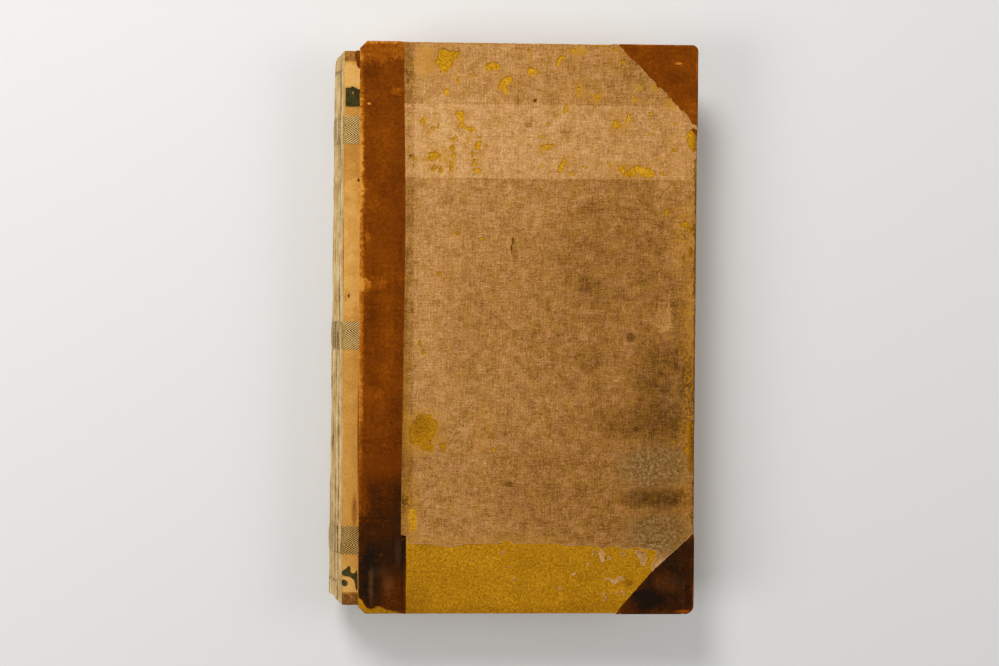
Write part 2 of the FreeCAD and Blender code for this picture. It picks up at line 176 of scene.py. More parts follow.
def maths(tree, operation, *values, clamp=False):
    return node(tree, "ShaderNodeMath", dict(enumerate(values)), operation=operation, use_clamp=clamp)


def sum_as(operation, turned=False):
    """How a sum with a Value becomes a Math node."""
    def method(self, other):
        return maths(self.tree, operation, *((other, self) if turned else (self, other)))
    return method


class Value:
    """What a node gives. A sum with it adds the Math node that works it out."""
    def __init__(self, tree, made, key=0):
        self.tree, self.made, self.socket = tree, made, made.outputs[key]

    def __getitem__(self, key):
        return Value(self.tree, self.made, key)

    def __iter__(self):
        return (self[i] for i in range(len(self.made.outputs)))

    __add__ = __radd__ = sum_as("ADD")
    __mul__ = __rmul__ = sum_as("MULTIPLY")
    __sub__, __rsub__ = sum_as("SUBTRACT"), sum_as("SUBTRACT", turned=True)
    __truediv__, __rtruediv__ = sum_as("DIVIDE"), sum_as("DIVIDE", turned=True)

    def clamped(self):
        return maths(self.tree, "ADD", self, 0.0, clamp=True)

    def fade(self, low, high, end=1.0, start=0.0, smooth=False):
        """start where this value is low, end where it is high, and a slope between."""
        return node(self.tree, "ShaderNodeMapRange", {
            "Value": self, "From Min": low, "From Max": high, "To Min": start, "To Max": end},
            interpolation_type="SMOOTHSTEP" if smooth else "LINEAR")


def vector(first, operation, second):
    return node(first.tree, "ShaderNodeVectorMath", {0: first, 1: second}, operation=operation)


def combine(tree, *parts):
    return node(tree, "ShaderNodeCombineXYZ", dict(enumerate(parts)))


def split(place):
    return node(place.tree, "ShaderNodeSeparateXYZ", {0: place})


def attribute(tree, name):
    return node(tree, "ShaderNodeAttribute", attribute_name=name)["Fac"]


def mix(share, first, second):
    """Mix two colours. Each is a Value or a red, green and blue from 0 to 255."""
    first, second = (c if isinstance(c, Value) else colour(*c) for c in (first, second))
    return node(share.tree, "ShaderNodeMix", {0: share, 6: first, 7: second}, data_type="RGBA")[2]


def ramp(value, *stops):
    """A colour ramp: each stop is a place and a red, green and blue from 0 to 255."""
    made = node(value.tree, "ShaderNodeValToRGB", {0: value})
    line = made.made.color_ramp
    while len(line.elements) < len(stops):
        line.elements.new(0.5)
    for element, (place, *shade) in zip(line.elements, stops):
        element.position, element.color = place, colour(*shade)
    return made


def cloudy(where, scale=1.0, detail=2.0, rough=0.5):
    return node(where.tree, "ShaderNodeTexNoise", {
        "Vector": where, "Scale": scale, "Detail": detail, "Roughness": rough})


def speckle(where, scale, detail=2.0, rough=0.5, stretch=(1, 1, 1), offset=(0, 0, 0)):
    """Noise from 0 to 1, stretched along an axis by a Mapping node. scale is per millimetre."""
    placed = node(where.tree, "ShaderNodeMapping", {
        "Vector": where, "Location": offset, "Scale": [scale * s for s in stretch]})
    return cloudy(placed, 1.0, detail, rough)


def varied(tone, *parts):
    """Add textures to a tone. Each adds up to half its amount, or takes off as much."""
    for texture, amount in parts:
        tone = (texture - 0.5) * amount + tone
    return tone


def start_material(name):
    """An empty material: its tree, its Principled shader and its place in millimetres."""
    made = bpy.data.materials.new(name)
    made.use_nodes = True
    tree = made.node_tree
    in_mm = vector(node(tree, "ShaderNodeTexCoord")["Object"], "MULTIPLY", (1000, 1000, 1000))
    return made, tree, tree.nodes["Principled BSDF"], in_mm


def end_material(shader, shade, height, strength, distance, roughness, shine=0.05):
    """Give the shader its colour, its relief, its roughness and its little shine."""
    bump = node(shade.tree, "ShaderNodeBump", {
        "Height": height, "Strength": strength, "Distance": distance})
    for name, value in (("Base Color", shade), ("Normal", bump), ("Roughness", roughness),
                        ("Specular IOR Level", shine)):
        plug(shade.tree, shader.inputs[name], value)


floor_paint, tree, shader, _ = start_material("floor_paint")
shader.inputs["Base Color"].default_value = (0.78, 0.77, 0.75, 1)
shader.inputs["Roughness"].default_value = 0.9
floor_mesh.materials.append(floor_paint)

# %% [markdown]
# ## The boards
#
# A board is a plain sheet of pasteboard whose rims have rubbed round. Its shape is already right in
# the CAD model, so the piece is a copy of that node: the loose triangles are joined up, flat faces
# are dissolved, and the upper and lower rims get a small rounded bevel.

# %% Boards with rubbed rims
BOARD = {"left": -88.111, "right": 105.889, "half": 164.4, "thick": 3.0, "cut": 4.0}
RIM = 0.8
FACES = {"front": 36.7, "back": 3.6}


def from_mesh(name, mesh, material, body, *replaced, slot=None):
    """A finished piece: its mesh is in the shared frame, and it rides on a body when one is given."""
    piece = bpy.data.objects.new(name, mesh)
    bpy.context.scene.collection.objects.link(piece)
    if material:
        mesh.materials.clear()
        mesh.materials.append(material)
    if body:
        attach(piece, body)
    if replaced:
        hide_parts(*replaced)
    return piece


def smooth_faces(mesh, sharp):
    for face in mesh.polygons:
        face.use_smooth = True
    mesh.set_sharp_from_angle(angle=math.radians(sharp))


def rubbed_copy(label):
    bm = bmesh.new()
    bm.from_mesh(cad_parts[label].data)
    bmesh.ops.remove_doubles(bm, verts=bm.verts, dist=1e-6)
    bmesh.ops.dissolve_limit(bm, angle_limit=math.radians(2), verts=bm.verts, edges=bm.edges)
    rims = [e for e in bm.edges if len(e.link_faces) == 2
            and abs(e.verts[0].co.z - e.verts[1].co.z) < 1e-6 and e.calc_face_angle(0) > 1]
    bmesh.ops.bevel(bm, geom=rims, offset=RIM * MM, segments=4, affect="EDGES", profile=0.5)
    mesh = bpy.data.meshes.new(label + "_worn")
    bm.to_mesh(mesh)
    bm.free()
    smooth_faces(mesh, 40)
    return mesh


board_meshes = {side: rubbed_copy(f"{side}_board") for side in FACES}
print("Board faces:", {side: len(mesh.polygons) for side, mesh in board_meshes.items()})

# %% [markdown]
# ## Wrapping a sheet round a board
#
# The leather and the cloth are flat sheets that are pasted on the face, bent round the edge of the
# board and turned in. Drawing them flat and bending them afterwards, as a binder does, keeps the
# grain continuous over the edge. A flat point beyond the board is sent to the nearest point of the
# board's outline, and its distance from there is wound round the upper rim, down the edge, round the
# lower rim and back over the inner face.

# %% Outline of the board and the bend round it
ROLL = RIM + 0.3
BENDS = np.cumsum([0, ROLL * math.pi / 2, BOARD["thick"] - 2 * RIM, ROLL * math.pi / 2])
TURN_IN = 15 - RIM + BENDS[-1] - RIM
INNER = 0.28


def arc(cx, cy, radius, start, end, steps=6):
    turns = [math.radians(start + (end - start) * i / steps) for i in range(steps + 1)]
    return [(cx + radius * math.cos(t), cy + radius * math.sin(t)) for t in turns]


def board_outline(head_round, tail_round, inset=RIM):
    """The board's outline, set in by the width of the rim, anticlockwise from the tail."""
    left, right, half = BOARD["left"] + inset, BOARD["right"], BOARD["half"] - inset
    cut = BOARD["cut"] - inset * (2 - math.sqrt(2))
    return np.array(
        [(left + cut, -half)]
        + arc(right - tail_round, tail_round - BOARD["half"], tail_round - inset, -90, 0)
        + arc(right - head_round, BOARD["half"] - head_round, head_round - inset, 0, 90)
        + [(left + cut, half), (left, half - cut), (left, cut - half)])


ROUNDS = {"front": (3.0, 4.6), "back": (3.0, 3.0)}
OUTLINES = {side: board_outline(*ROUNDS[side]) for side in FACES}


def reach(flat, outline):
    """For flat points: the nearest point of the outline, how far beyond it they are, and which way."""
    start, end = outline, np.roll(outline, -1, axis=0)
    along = end - start
    normal = np.stack([along[:, 1], -along[:, 0]], 1) / np.linalg.norm(along, axis=1)[:, None]
    beyond = np.einsum("pek,ek->pe", flat[:, None] - start[None], normal).max(1)
    share = np.einsum("pek,ek->pe", flat[:, None] - start[None], along) / (along ** 2).sum(1)
    near = start[None] + np.clip(share, 0, 1)[..., None] * along[None]
    gap = np.linalg.norm(flat[:, None] - near, axis=2)
    best = gap.argmin(1)
    near, far = near[np.arange(len(flat)), best], gap[np.arange(len(flat)), best]
    outside = (beyond > 1e-9) & (far > 1e-9)
    far = np.where(outside, far, 0)
    away = np.where(outside[:, None], (flat - near) / np.maximum(far, 1e-9)[:, None], 0)
    return np.where(outside[:, None], near, flat), far, away


def wrap(flat, height, inner, side):
    """Bend flat points round a board. height is above the face, inner above the inner face."""
    near, far, away = reach(flat, OUTLINES[side])
    up = np.clip(far / ROLL, 0, math.pi / 2)
    down = np.clip(far - BENDS[1], 0, BENDS[2] - BENDS[1])
    under = np.clip((far - BENDS[2]) / ROLL, 0, math.pi / 2)
    back = np.maximum(far - BENDS[3], 0)
    high = height + (inner - height) * np.clip((far - BENDS[1]) / (BENDS[3] - BENDS[1]), 0, 1)
    out = np.where(under > 0, (RIM + high) * np.cos(under), (RIM + high) * np.sin(up)) - back
    z = np.where(under > 0, RIM - (RIM + high) * np.sin(under),
                 BOARD["thick"] - RIM + (RIM + high) * np.cos(up) - down)
    x, y = (near + away * out[:, None]).T
    if side == "front":
        return np.stack([x, y, FACES["front"] + z], 1) * MM
    return np.stack([x, -y, FACES["back"] - z], 1) * MM


print("Flat length of a turn-in from the board's edge:", round(TURN_IN, 2), "mm")

# %% [markdown]
# ## Cutting a sheet
#
# A sheet's outline is drawn with a few corners. Cut edges stay straight, and torn ones are
# made ragged with fixed noise. The sheet is then filled with triangles: its outline, its holes, rows
# of points where it bends, and a plain grid between. Points are kept only where a line from them
# crosses the loops an odd number of times, so a loop inside a hole is a flake that is still stuck.

# %% Ragged edges
# Blender starts its vector noise from the clock unless a seed is set, so one is set here.
noise.seed_set(5)


def softened(points):
    """Cut each corner of a closed loop, which rounds it."""
    made = []
    for (ax, ay), (bx, by) in zip(points, points[1:] + points[:1]):
        made += [(0.75 * ax + 0.25 * bx, 0.75 * ay + 0.25 * by),
                 (0.25 * ax + 0.75 * bx, 0.25 * ay + 0.75 * by)]
    return made


def ragged(points, rough=0.3, step=0.55, closed=False):
    """Divide a line into short steps and push each new point aside with fixed noise."""
    points = list(points)
    if closed:
        points = softened(points)
        points.append(points[0])
    made = []
    for a, b in zip(points, points[1:]):
        count = max(1, round(math.dist(a, b) / step))
        for i in range(count):
            x, y = (a[k] + (b[k] - a[k]) * i / count for k in (0, 1))
            push = (noise.noise_vector(Vector((x * 0.45, y * 0.45, 3.1))) * 1.3
                    + noise.noise_vector(Vector((x * 1.6, y * 1.6, 7.7))))
            made.append((x + rough * push.x, y + rough * push.y))
    return made if closed else made + [points[-1]]


def on_cover(pixels):
    return [cover_point(px, py) for px, py in pixels]


def flake(x0, y0, x1, y1, corners=9):
    """A small closed shape between two corners, given in pixels, with an uneven outline."""
    dice = random.Random(round(x0 * 7 + y0 * 13))
    turns = [math.tau * (i + dice.uniform(-0.3, 0.3)) / corners for i in range(corners)]
    sizes = [dice.uniform(0.72, 1.12) for _ in turns]
    x, y, wide, tall = (x0 + x1) / 2, (y0 + y1) / 2, (x1 - x0) / 2, (y1 - y0) / 2
    return [(x + wide * s * math.cos(t), y + tall * s * math.sin(t)) for t, s in zip(turns, sizes)]


# %% Triangles between loops
def inside(points, loops):
    """Whether a line from each point crosses the loops an odd number of times."""
    starts = np.concatenate([np.asarray(loop, float) for loop in loops])
    ends = np.concatenate([np.roll(np.asarray(loop, float), -1, axis=0) for loop in loops])
    wide, tall = (ends - starts).T
    odd = np.zeros(len(points), bool)
    for part in range(0, len(points), 2000):
        x, y = points[part:part + 2000, 0, None], points[part:part + 2000, 1, None]
        across = (starts[:, 1] > y) != (ends[:, 1] > y)
        with np.errstate(divide="ignore", invalid="ignore"):
            meet = starts[:, 0] + (y - starts[:, 1]) * wide / tall
        odd[part:part + 2000] = (across & (x < meet)).sum(1) % 2 == 1
    return odd


def bend_rows(outline, step=3.0):
    """Points in rows along every bend round the board."""
    rows = []
    for far in [*np.linspace(0, BENDS[1], 5), *np.linspace(BENDS[2], BENDS[3], 5), BENDS[3] + 6]:
        for i, start in enumerate(outline):
            end, before = outline[(i + 1) % len(outline)], outline[i - 1]
            along = (end - start) / np.linalg.norm(end - start)
            last = (start - before) / np.linalg.norm(start - before)
            out, was = np.array([along[1], -along[0]]), np.array([last[1], -last[0]])
            fan = int(math.degrees(math.acos(np.clip(out @ was, -1, 1))) / 12) if far else 0
            rows += [start + far * (was * (1 - k / (fan + 1)) + out * k / (fan + 1))
                     for k in range(1, fan + 1)]
            count = max(1, int(np.linalg.norm(end - start) / step))
            rows += [start + (end - start) * k / count + out * far for k in range(count + 1)]
    return np.array(rows)


def filled(loops, fill, least=0.0):
    """Fill closed loops with triangles that use the given points. Gives flat points and triangles."""
    edge_points = np.concatenate([np.asarray(loop, float) for loop in loops])
    starts = np.cumsum([0] + [len(loop) for loop in loops])
    edges = [(s + i, s + (i + 1) % n) for s, n in zip(starts, np.diff(starts)) for i in range(n)]
    corners = [Vector(p) for p in [*edge_points, *fill]]
    flat, _, triangles, *_ = delaunay_2d_cdt(corners, edges, [], 0, 1e-4)
    flat, triangles = np.array([tuple(p) for p in flat]), np.array([tuple(t) for t in triangles])
    a, b, c = (flat[triangles[:, k]] for k in range(3))
    area = ((b - a)[:, 0] * (c - a)[:, 1] - (b - a)[:, 1] * (c - a)[:, 0]) / 2
    kept = inside(flat[triangles].mean(1), loops) & (np.abs(area) >= least)
    used, triangles = np.unique(triangles[kept], return_inverse=True)
    return flat[used], triangles.reshape(-1, 3)


def two_faced(name, upper, lower, triangles):
    """A mesh with an upper and a lower face of the same triangles, and walls round the edges."""
    count = len(upper)
    sides = {(t[i], t[(i + 1) % 3]): True for t in triangles.tolist() for i in range(3)}
    faces = ([tuple(t) for t in triangles] + [tuple(t[::-1] + count) for t in triangles]
             + [(b, a, a + count, b + count) for a, b in sides if (b, a) not in sides])
    mesh = bpy.data.meshes.new(name)
    mesh.from_pydata([*map(tuple, upper), *map(tuple, lower)], [], faces)
    return mesh


def tree_of(points):
    """A search tree that finds the nearest of some flat points."""
    found = kdtree.KDTree(max(1, len(points)))
    for i, (x, y) in enumerate(points):
        found.insert((x, y, 0), i)
    found.balance()
    return found


def cut_sheet(name, side, outline, thick, holes=(), torn=(), under=None, grid=4.0, rim=0.5):
    """A sheet with the given outline and holes, wrapped round a board. thick(flat) is its thickness
    and under(flat) the height of what it lies on. torn names the loops whose edges are ragged."""
    loops = [outline, *holes]
    edge_points = np.concatenate([np.asarray(loop, float) for loop in loops])
    low, high = edge_points.min(0), edge_points.max(0)
    across, along = (np.arange(low[k] + grid / 2, high[k], grid) for k in (0, 1))
    rows = [np.array([(x + (j % 2) * grid / 2, y) for j, y in enumerate(along) for x in across]),
            bend_rows(OUTLINES[side])]
    for loop in torn:
        line = np.asarray(loop, float)
        slope = np.roll(line, -1, axis=0) - np.roll(line, 1, axis=0)
        length = np.maximum(np.linalg.norm(slope, axis=1), 1e-6)[:, None]
        aside = np.stack([slope[:, 1], -slope[:, 0]], 1) / length
        rows += [(line + s * rim * aside)[::2] for s in (-1, 1)]
    fill = np.concatenate(rows)
    edge = tree_of(edge_points)
    fill = [p for p in fill[inside(fill, loops)] if edge.find((p[0], p[1], 0))[2] > 0.18]
    flat, triangles = filled(loops, fill, 1e-5)
    count = len(flat)
    floor_at = under(flat) if under else np.zeros(count)
    upper = wrap(flat, floor_at + thick(flat), np.full(count, INNER), side)
    mesh = two_faced(name, upper, wrap(flat, floor_at, np.zeros(count), side), triangles)
    spots = mesh.uv_layers.new(name="flat")
    owner = np.zeros(len(mesh.loops), int)
    mesh.loops.foreach_get("vertex_index", owner)
    spots.data.foreach_set("uv", flat[owner % count].astype(np.float32).ravel())
    rag = tree_of([point for loop in torn for point in loop])
    near = np.array([rag.find((x, y, 0))[2] if torn else 99.0 for x, y in flat])
    value = mesh.attributes.new("torn_edge", "FLOAT", "POINT")
    value.data.foreach_set("value", np.tile(np.clip(1 - near / 0.8, 0, 1), 2).astype(np.float32))
    smooth_faces(mesh, 50)
    print(f"{name}: {len(mesh.polygons)} faces, {len(holes)} holes")
    return mesh


# %% [markdown]
# ## Where the cloth is torn and worn through
#
# The cloth on the front is thin book linen. At the tail it has torn away in one long ragged band, and
# above that the yellow board shows through in patches, most of them where the cloth was rubbed over
# the lacing of the boards and along the edges. Each loss is drawn with a few corners in pixels of the
# photograph, or as a small uneven flake, and given its ragged edge by the helper above.

# %% Losses drawn one by one
WORN_THROUGH = [
    [(438, 49), (444, 48.5), (448, 51), (461, 50), (461, 53), (455, 58), (452, 66), (448, 72), (441, 72),
     (437, 64), (434, 62), (438, 57)],
    [(485, 64), (490, 61.5), (497, 62), (501, 65), (500, 71), (495, 69), (489, 71.5), (485, 69)],
    [(506, 76), (511, 76), (513.5, 81), (508, 84), (506, 88), (509, 93), (504, 95), (502, 89), (497.5, 88),
     (501, 81)],
    [(528, 67), (534, 68.5), (538, 70), (536, 74), (531, 73), (530, 77), (526.5, 75), (527, 71)],
    [(559, 57), (562, 55), (565.5, 56), (564, 59), (560.5, 61), (559, 66), (556, 66), (556.5, 60)],
    [(617.5, 62), (622, 60), (626, 59.5), (626.5, 62), (621, 63.5)],
    [(621, 66), (624, 65), (626.5, 67), (623, 68.5)],
    [(423, 116), (427, 117), (426, 120.5), (425, 124), (422, 125), (420, 123), (422, 120)],
    [(456, 111), (461, 110), (464.5, 112), (464.5, 119), (463.5, 123), (466, 127), (475, 126.5),
     (475.5, 129), (471, 132.5), (466, 130), (462, 126), (458, 129.5), (456, 128), (460, 123), (459, 120),
     (456, 117)],
    [(429, 153), (433, 151), (438, 152), (441, 155), (439, 159), (434, 158), (431, 162), (428, 159)],
    [(476, 141), (480, 140), (481.5, 145), (479, 149), (475, 149), (475, 145)],
    [(566.5, 103.5), (568, 106), (567.5, 111), (565.5, 114.5), (563, 112.5), (564, 108)],
    [(541, 146), (545, 143.5), (550, 145), (554.5, 143), (553, 147), (547, 149.5), (542, 149)],
    [(564, 158), (567, 159), (565.5, 163), (564, 167), (562, 172), (558, 171.5), (557.5, 166), (562, 162)],
    [(606, 162), (608.5, 161), (613.5, 166.5), (611, 168.5)],
    [(613, 121), (617, 119), (619, 123), (623, 124), (622, 128), (618, 127), (616, 130), (613, 126)],
    [(628, 113), (631, 115), (630.5, 120), (628, 124.5), (625.5, 121), (627, 117)],
    [(616.5, 166), (622, 165), (625, 168), (626, 171), (631, 169), (635, 165.5), (640, 166), (645, 168),
     (651, 169), (654, 171), (656, 174.5), (652, 177), (646, 176.5), (643, 178), (639, 174), (636, 173),
     (634, 177), (625, 177), (620, 172.5)],
    [(409.5, 432), (412, 423), (418, 415.6), (424.5, 414), (431, 414.5), (433.5, 420), (438.5, 422),
     (437, 428), (434.5, 437), (430, 441), (433.5, 448), (429, 452.4), (422, 450), (419, 444.6),
     (411, 444.6), (409.5, 437)],
    [(438.5, 444), (443, 443), (446.5, 446), (446, 451), (443, 452), (441, 447)],
    [(407.5, 510), (411, 507.5), (415, 510), (417, 516), (416.5, 526), (414, 534), (409.5, 534),
     (408, 524)],
]
WORN_THROUGH += [flake(*box) for box in [
    (573.5, 67, 576.5, 71.5), (430, 126, 435.5, 130), (436.5, 123, 439.5, 129), (426.5, 131, 430, 134.5),
    (454.5, 135, 458, 140.5), (478, 136, 481.5, 138.5), (431, 167, 436.5, 171), (439, 166, 443, 173.5),
    (412, 155, 415.5, 159.5), (412.5, 164, 415, 167.5), (553, 115, 556.5, 119), (545.5, 123, 550.5, 126),
    (541, 134.5, 545.5, 138), (568.5, 171, 574.5, 176), (581, 165, 587.5, 169), (648, 112, 654, 116.5),
    (648, 132, 652.5, 136.5), (673, 123, 677.5, 126.5), (672, 148, 677.5, 153), (659.5, 172, 664.5, 176),
    (472, 162, 477.5, 166), (472, 168, 482, 173), (484, 144.5, 488.5, 147.5), (664, 208, 670, 218),
    (680.5, 221, 689, 228), (686, 226, 693, 234), (688, 247, 693.5, 257), (455, 231, 460.5, 235),
    (478, 237, 484, 240.5), (437, 271, 441.5, 276.5), (418, 340, 421.5, 345), (422, 349, 425.5, 355),
    (490, 447, 496.5, 452.5), (408, 496, 411, 503), (492, 522, 496.5, 526.5), (672, 440, 675.5, 443.5),
    (485, 411, 488, 415), (484, 421.5, 486.5, 425), (487.5, 436, 490.5, 440), (527, 48, 530, 52),
    (571, 48, 576, 51.5), (612, 47, 616.5, 51), (449, 136.5, 457.5, 142), (449.5, 144, 455, 150.5),
    (451.5, 152, 455.5, 159), (449, 161, 453.5, 171), (433, 165, 438.5, 169), (471.3, 150.5, 474, 157.5),
    (473, 158.5, 476.5, 162), (457, 76, 460, 85), (444, 88, 448.5, 96), (469.5, 74.5, 472.5, 77.5),
    (577, 85.5, 581, 94), (596, 93, 600.5, 99.5), (634, 97, 637.5, 101.5)]]


def roughness(loop):
    """A wide loss has a coarser edge than a small one, or than one drawn with many corners."""
    wide = max(x for x, _ in loop) - min(x for x, _ in loop)
    return 0.5 if wide > 7 and len(loop) < 24 else 0.3


losses = [ragged(on_cover(loop), roughness(loop), 0.45, closed=True) for loop in WORN_THROUGH]

STUCK_FLAKES = [
    [(634, 550), (640, 550.5), (645, 552), (646.5, 556), (648, 559), (646, 562), (645, 567), (640, 564),
     (641, 560), (637, 556)],
    [(604, 580), (606, 577.5), (611, 578.5), (614, 581), (617, 578), (620, 576), (624.5, 577.5), (624, 580),
     (618, 581), (616, 584.5), (612, 583.5), (609, 579.5)],
    [(599, 550.5), (603, 549.8), (605, 553), (604, 558), (605.5, 562), (602, 563), (600, 558), (598, 554)],
]
STUCK_FLAKES += [flake(*box) for box in [
    (500, 550.5, 504.5, 554.5), (508, 566.5, 510.5, 568.5), (512, 577.5, 515, 580.5),
    (586.5, 562, 589.5, 567), (572, 572, 576.5, 576), (558, 587, 562, 590.5), (592, 550, 594.5, 556),
    (607, 556, 611, 560.5), (620, 552, 626, 556.5), (602.5, 591, 605, 597), (604.5, 596, 607.5, 602),
    (621, 590, 624, 593), (623, 593, 625.5, 596.5), (615, 591.5, 618, 594.5), (471, 559, 473.5, 561)]]
flakes = [ragged(on_cover(loop), 0.18, 0.45, closed=True) for loop in STUCK_FLAKES]
print(len(losses), "losses and", len(flakes), "flakes")

# %% [markdown]
# ## Outlines of the cloth
#
# The cloth's edge beside the leather strip is a straight cut. At the head corner it has frayed along
# the leather, and at the tail it ends in the torn band. Where it runs over an edge of the board, the
# outline simply goes on outwards to the end of the turn-in. Along the fore-edge and the head the rim
# of the board has rubbed through the cloth, so thin losses lie right on the bend.

# %% Outline of the front cloth, and the losses on its bends
STRIP = BOARD["left"] + 24.5
LAP = 2.9
HEAD_FRAY = [
    (617.3, 43.8), (622.5, 48.3), (627, 54.3), (631.5, 58.6), (636, 62.5), (646, 72.4), (655.5, 82.8),
    (657.8, 88.8), (659.6, 86.2), (665, 91.5), (670.5, 97), (675, 104.5), (678.8, 106), (684, 111.2),
    (690, 117.3), (693.8, 121), (698, 126.5)]
TAIL_FRAY = [
    (691, 535.3), (683, 543.2), (672, 553), (661, 563), (652, 571.6), (651, 566), (655, 560), (657, 551.5),
    (652, 549.5), (638, 548), (632, 548), (623, 550), (621, 547), (608, 546.2), (602, 548.8), (597, 547),
    (590, 545), (570, 546), (555, 543.2), (540, 543), (513, 543.5), (510, 540), (505, 541), (500, 543),
    (465, 544), (449, 547.5), (430, 544), (416, 543.6), (407.8, 544), (406.5, 536), (402.5, 535)]
outer = {"head": BOARD["half"] + TURN_IN, "fore": BOARD["right"] + TURN_IN}
head_fray, tail_fray = ragged(on_cover(HEAD_FRAY), 0.2), ragged(on_cover(TAIL_FRAY), 0.25)
head_x, fore_head_y = head_fray[0][0], head_fray[-1][1]
fore_tail_y = tail_fray[0][1]
front_cloth = ([(STRIP, outer["head"]), (head_x, outer["head"])] + head_fray
               + [(outer["fore"], fore_head_y), (outer["fore"], fore_tail_y)] + tail_fray[:-1]
               + [(STRIP, tail_fray[-1][1])])


def rubbed_rim(start, end, inward, seed, head=False):
    """A thin loss on the bend. start and end are along the edge, inward is how far it reaches in."""
    edge = BOARD["half"] if head else BOARD["right"]
    count = max(3, int(abs(end - start) / 1.6))
    here = [start + (end - start) * i / count for i in range(count + 1)]
    deep = [inward * (0.35 + 0.9 * abs(noise.noise(Vector((v * 0.21, seed, 0)))) * 1.6
                      + 0.35 * noise.noise(Vector((v * 0.8, seed, 5)))) for v in here]
    deep[0] = deep[-1] = 0.15
    low = [(edge - max(d, 0.12), v) for d, v in zip(deep, here)]
    back = [(edge + 1.6 + 0.7 * noise.noise(Vector((v * 0.3, seed, 9))), v) for v in reversed(here)]
    loop = ragged(low + back, 0.1, 0.7)
    return [(v, u) for u, v in loop] if head else loop


def height_at(py):
    return cover_point(692, py)[1]


def beyond_edge(out, py):
    return BOARD["right"] + out, height_at(py)


UPPER_RIM = (on_cover([(690, 130), (694, 128), (697, 130)])
             + [beyond_edge(1.8, 133), beyond_edge(2.2, 148)]
             + on_cover([(697, 151), (692, 152), (689, 147), (686.5, 141), (686, 134)]))
LOWER_RIM = (on_cover([(692, 420), (687, 421), (686, 430), (687, 436), (689, 441), (687, 446),
                       (684.5, 450), (688, 455), (689, 462), (689, 472), (692, 474)])
             + [beyond_edge(2.0, 474), beyond_edge(2.3, 420)])
rims = [rubbed_rim(height_at(upper), height_at(lower), inward, seed)
        for seed, (upper, lower, inward) in enumerate([
            (156, 218, 1.9), (223, 300, 2.1), (304, 352, 1.5), (356, 416, 1.7), (478, 508, 1.6),
            (511, 533, 2.6)], 1)]
rim_losses = [ragged(UPPER_RIM, 0.2, closed=True), *rims[:4],
              ragged(LOWER_RIM, 0.22, closed=True), *rims[4:]]
for i, (x0, x1) in enumerate([(404, 424), (428, 470), (474, 512), (517, 566), (570, 612)]):
    rim_losses.append(rubbed_rim(cover_point(x0, 43)[0], cover_point(x1, 43)[0], 0.9, 20 + i, head=True))
print("Cloth outline:", len(front_cloth), "points,", len(rim_losses), "losses on the rims")

# %% Heights of the cloth and the leather
def smooth_step(values, start, end):
    t = np.clip((values - start) / (end - start), 0, 1)
    return t * t * (3 - 2 * t)


CORNERS = {("front", "head"): (45.0, 47.8), ("front", "tail"): (45.8, 44.4),
           ("back", "head"): (45.0, 47.8), ("back", "tail"): (45.8, 44.4)}


def past_corner(flat, side, end):
    """How far points lie inside the slanting line where a corner's leather begins, in millimetres."""
    wide, tall = CORNERS[side, end]
    sign = 1 if end == "head" else -1
    x, y = flat[:, 0] - BOARD["right"], sign * flat[:, 1] - BOARD["half"]
    return (x * tall + y * wide + wide * tall) / math.hypot(wide, tall)


def under_cloth(side):
    """The cloth lies on the board, and 0.2 mm higher where it laps over the thinned leather."""
    def height(flat):
        lap = 1 - smooth_step(flat[:, 0], STRIP + LAP - 0.6, STRIP + LAP + 0.5)
        for end in ("head", "tail"):
            lap = np.maximum(lap, smooth_step(past_corner(flat, side, end), -LAP - 0.5, -LAP + 0.6))
        return 0.2 * lap
    return height


def strip_thickness(flat):
    return 0.6 - 0.4 * smooth_step(flat[:, 0], STRIP - 0.35, STRIP + 0.15)


def corner_thickness(side, end):
    return lambda flat: 0.2 + 0.4 * smooth_step(past_corner(flat, side, end), -0.15, 0.4)


# %% [markdown]
# ## Shared effects
#
# Three effects turn up in several finishes, so each is a node group that is made once: a soft mark
# with an uneven edge, which gives stain marks and, on the joint paper, painted shadow lines; threads,
# which are two noises stretched across each other; and fibres, the cloudy unevenness of paper, board
# and leather. They put out masks and heights, and each material decides what to do with them.

# %% Node groups
def start_group(name, inputs, outputs):
    """An empty node group: its tree, its named inputs and the sockets at its end."""
    group = bpy.data.node_groups.new(name, "ShaderNodeTree")
    for label, kind, value in inputs:
        socket = group.interface.new_socket(label, in_out="INPUT", socket_type=f"NodeSocket{kind}")
        if value is not None:
            socket.default_value = value
    for label in outputs:
        group.interface.new_socket(label, in_out="OUTPUT", socket_type="NodeSocketFloat")
    given = Value(group, group.nodes.new("NodeGroupInput"))
    return group, given, group.nodes.new("NodeGroupOutput").inputs


def soft_mark_group():
    group, given, end = start_group("stain", [
        ("Place", "Vector", None), ("Centre", "Vector", None), ("Reach", "Vector", (5, 5, 5)),
        ("Softness", "Float", 0.4), ("Unevenness", "Float", 0.0)], ["Mask"])
    away = vector(vector(given["Place"], "SUBTRACT", given["Centre"]), "DIVIDE", given["Reach"])
    length = node(group, "ShaderNodeVectorMath", {0: away}, operation="LENGTH")["Value"]
    length, soft = length + given["Unevenness"], given["Softness"]
    plug(group, end["Mask"], length.fade(1.0 - soft, 1.0 + soft, 0.0, 1.0, smooth=True))
    return group


def thread_group():
    group, given, end = start_group("threads", [
        ("Place", "Vector", None), ("Pitch", "Float", 0.8), ("Length", "Float", 8.0)],
        ["Threads", "Slubs"])
    thin, long = 1.0 / given["Pitch"], 1.0 / given["Length"]
    lays = [cloudy(vector(given["Place"], "MULTIPLY", combine(group, *size)), 1.0, 1.5, 0.6)
            for size in ((thin, long, thin), (long, thin, thin))]
    plug(group, end["Threads"], (lays[0] + lays[1]) * 0.5)
    plug(group, end["Slubs"], maths(group, "MAXIMUM", *lays).fade(0.58, 0.78, smooth=True))
    return group


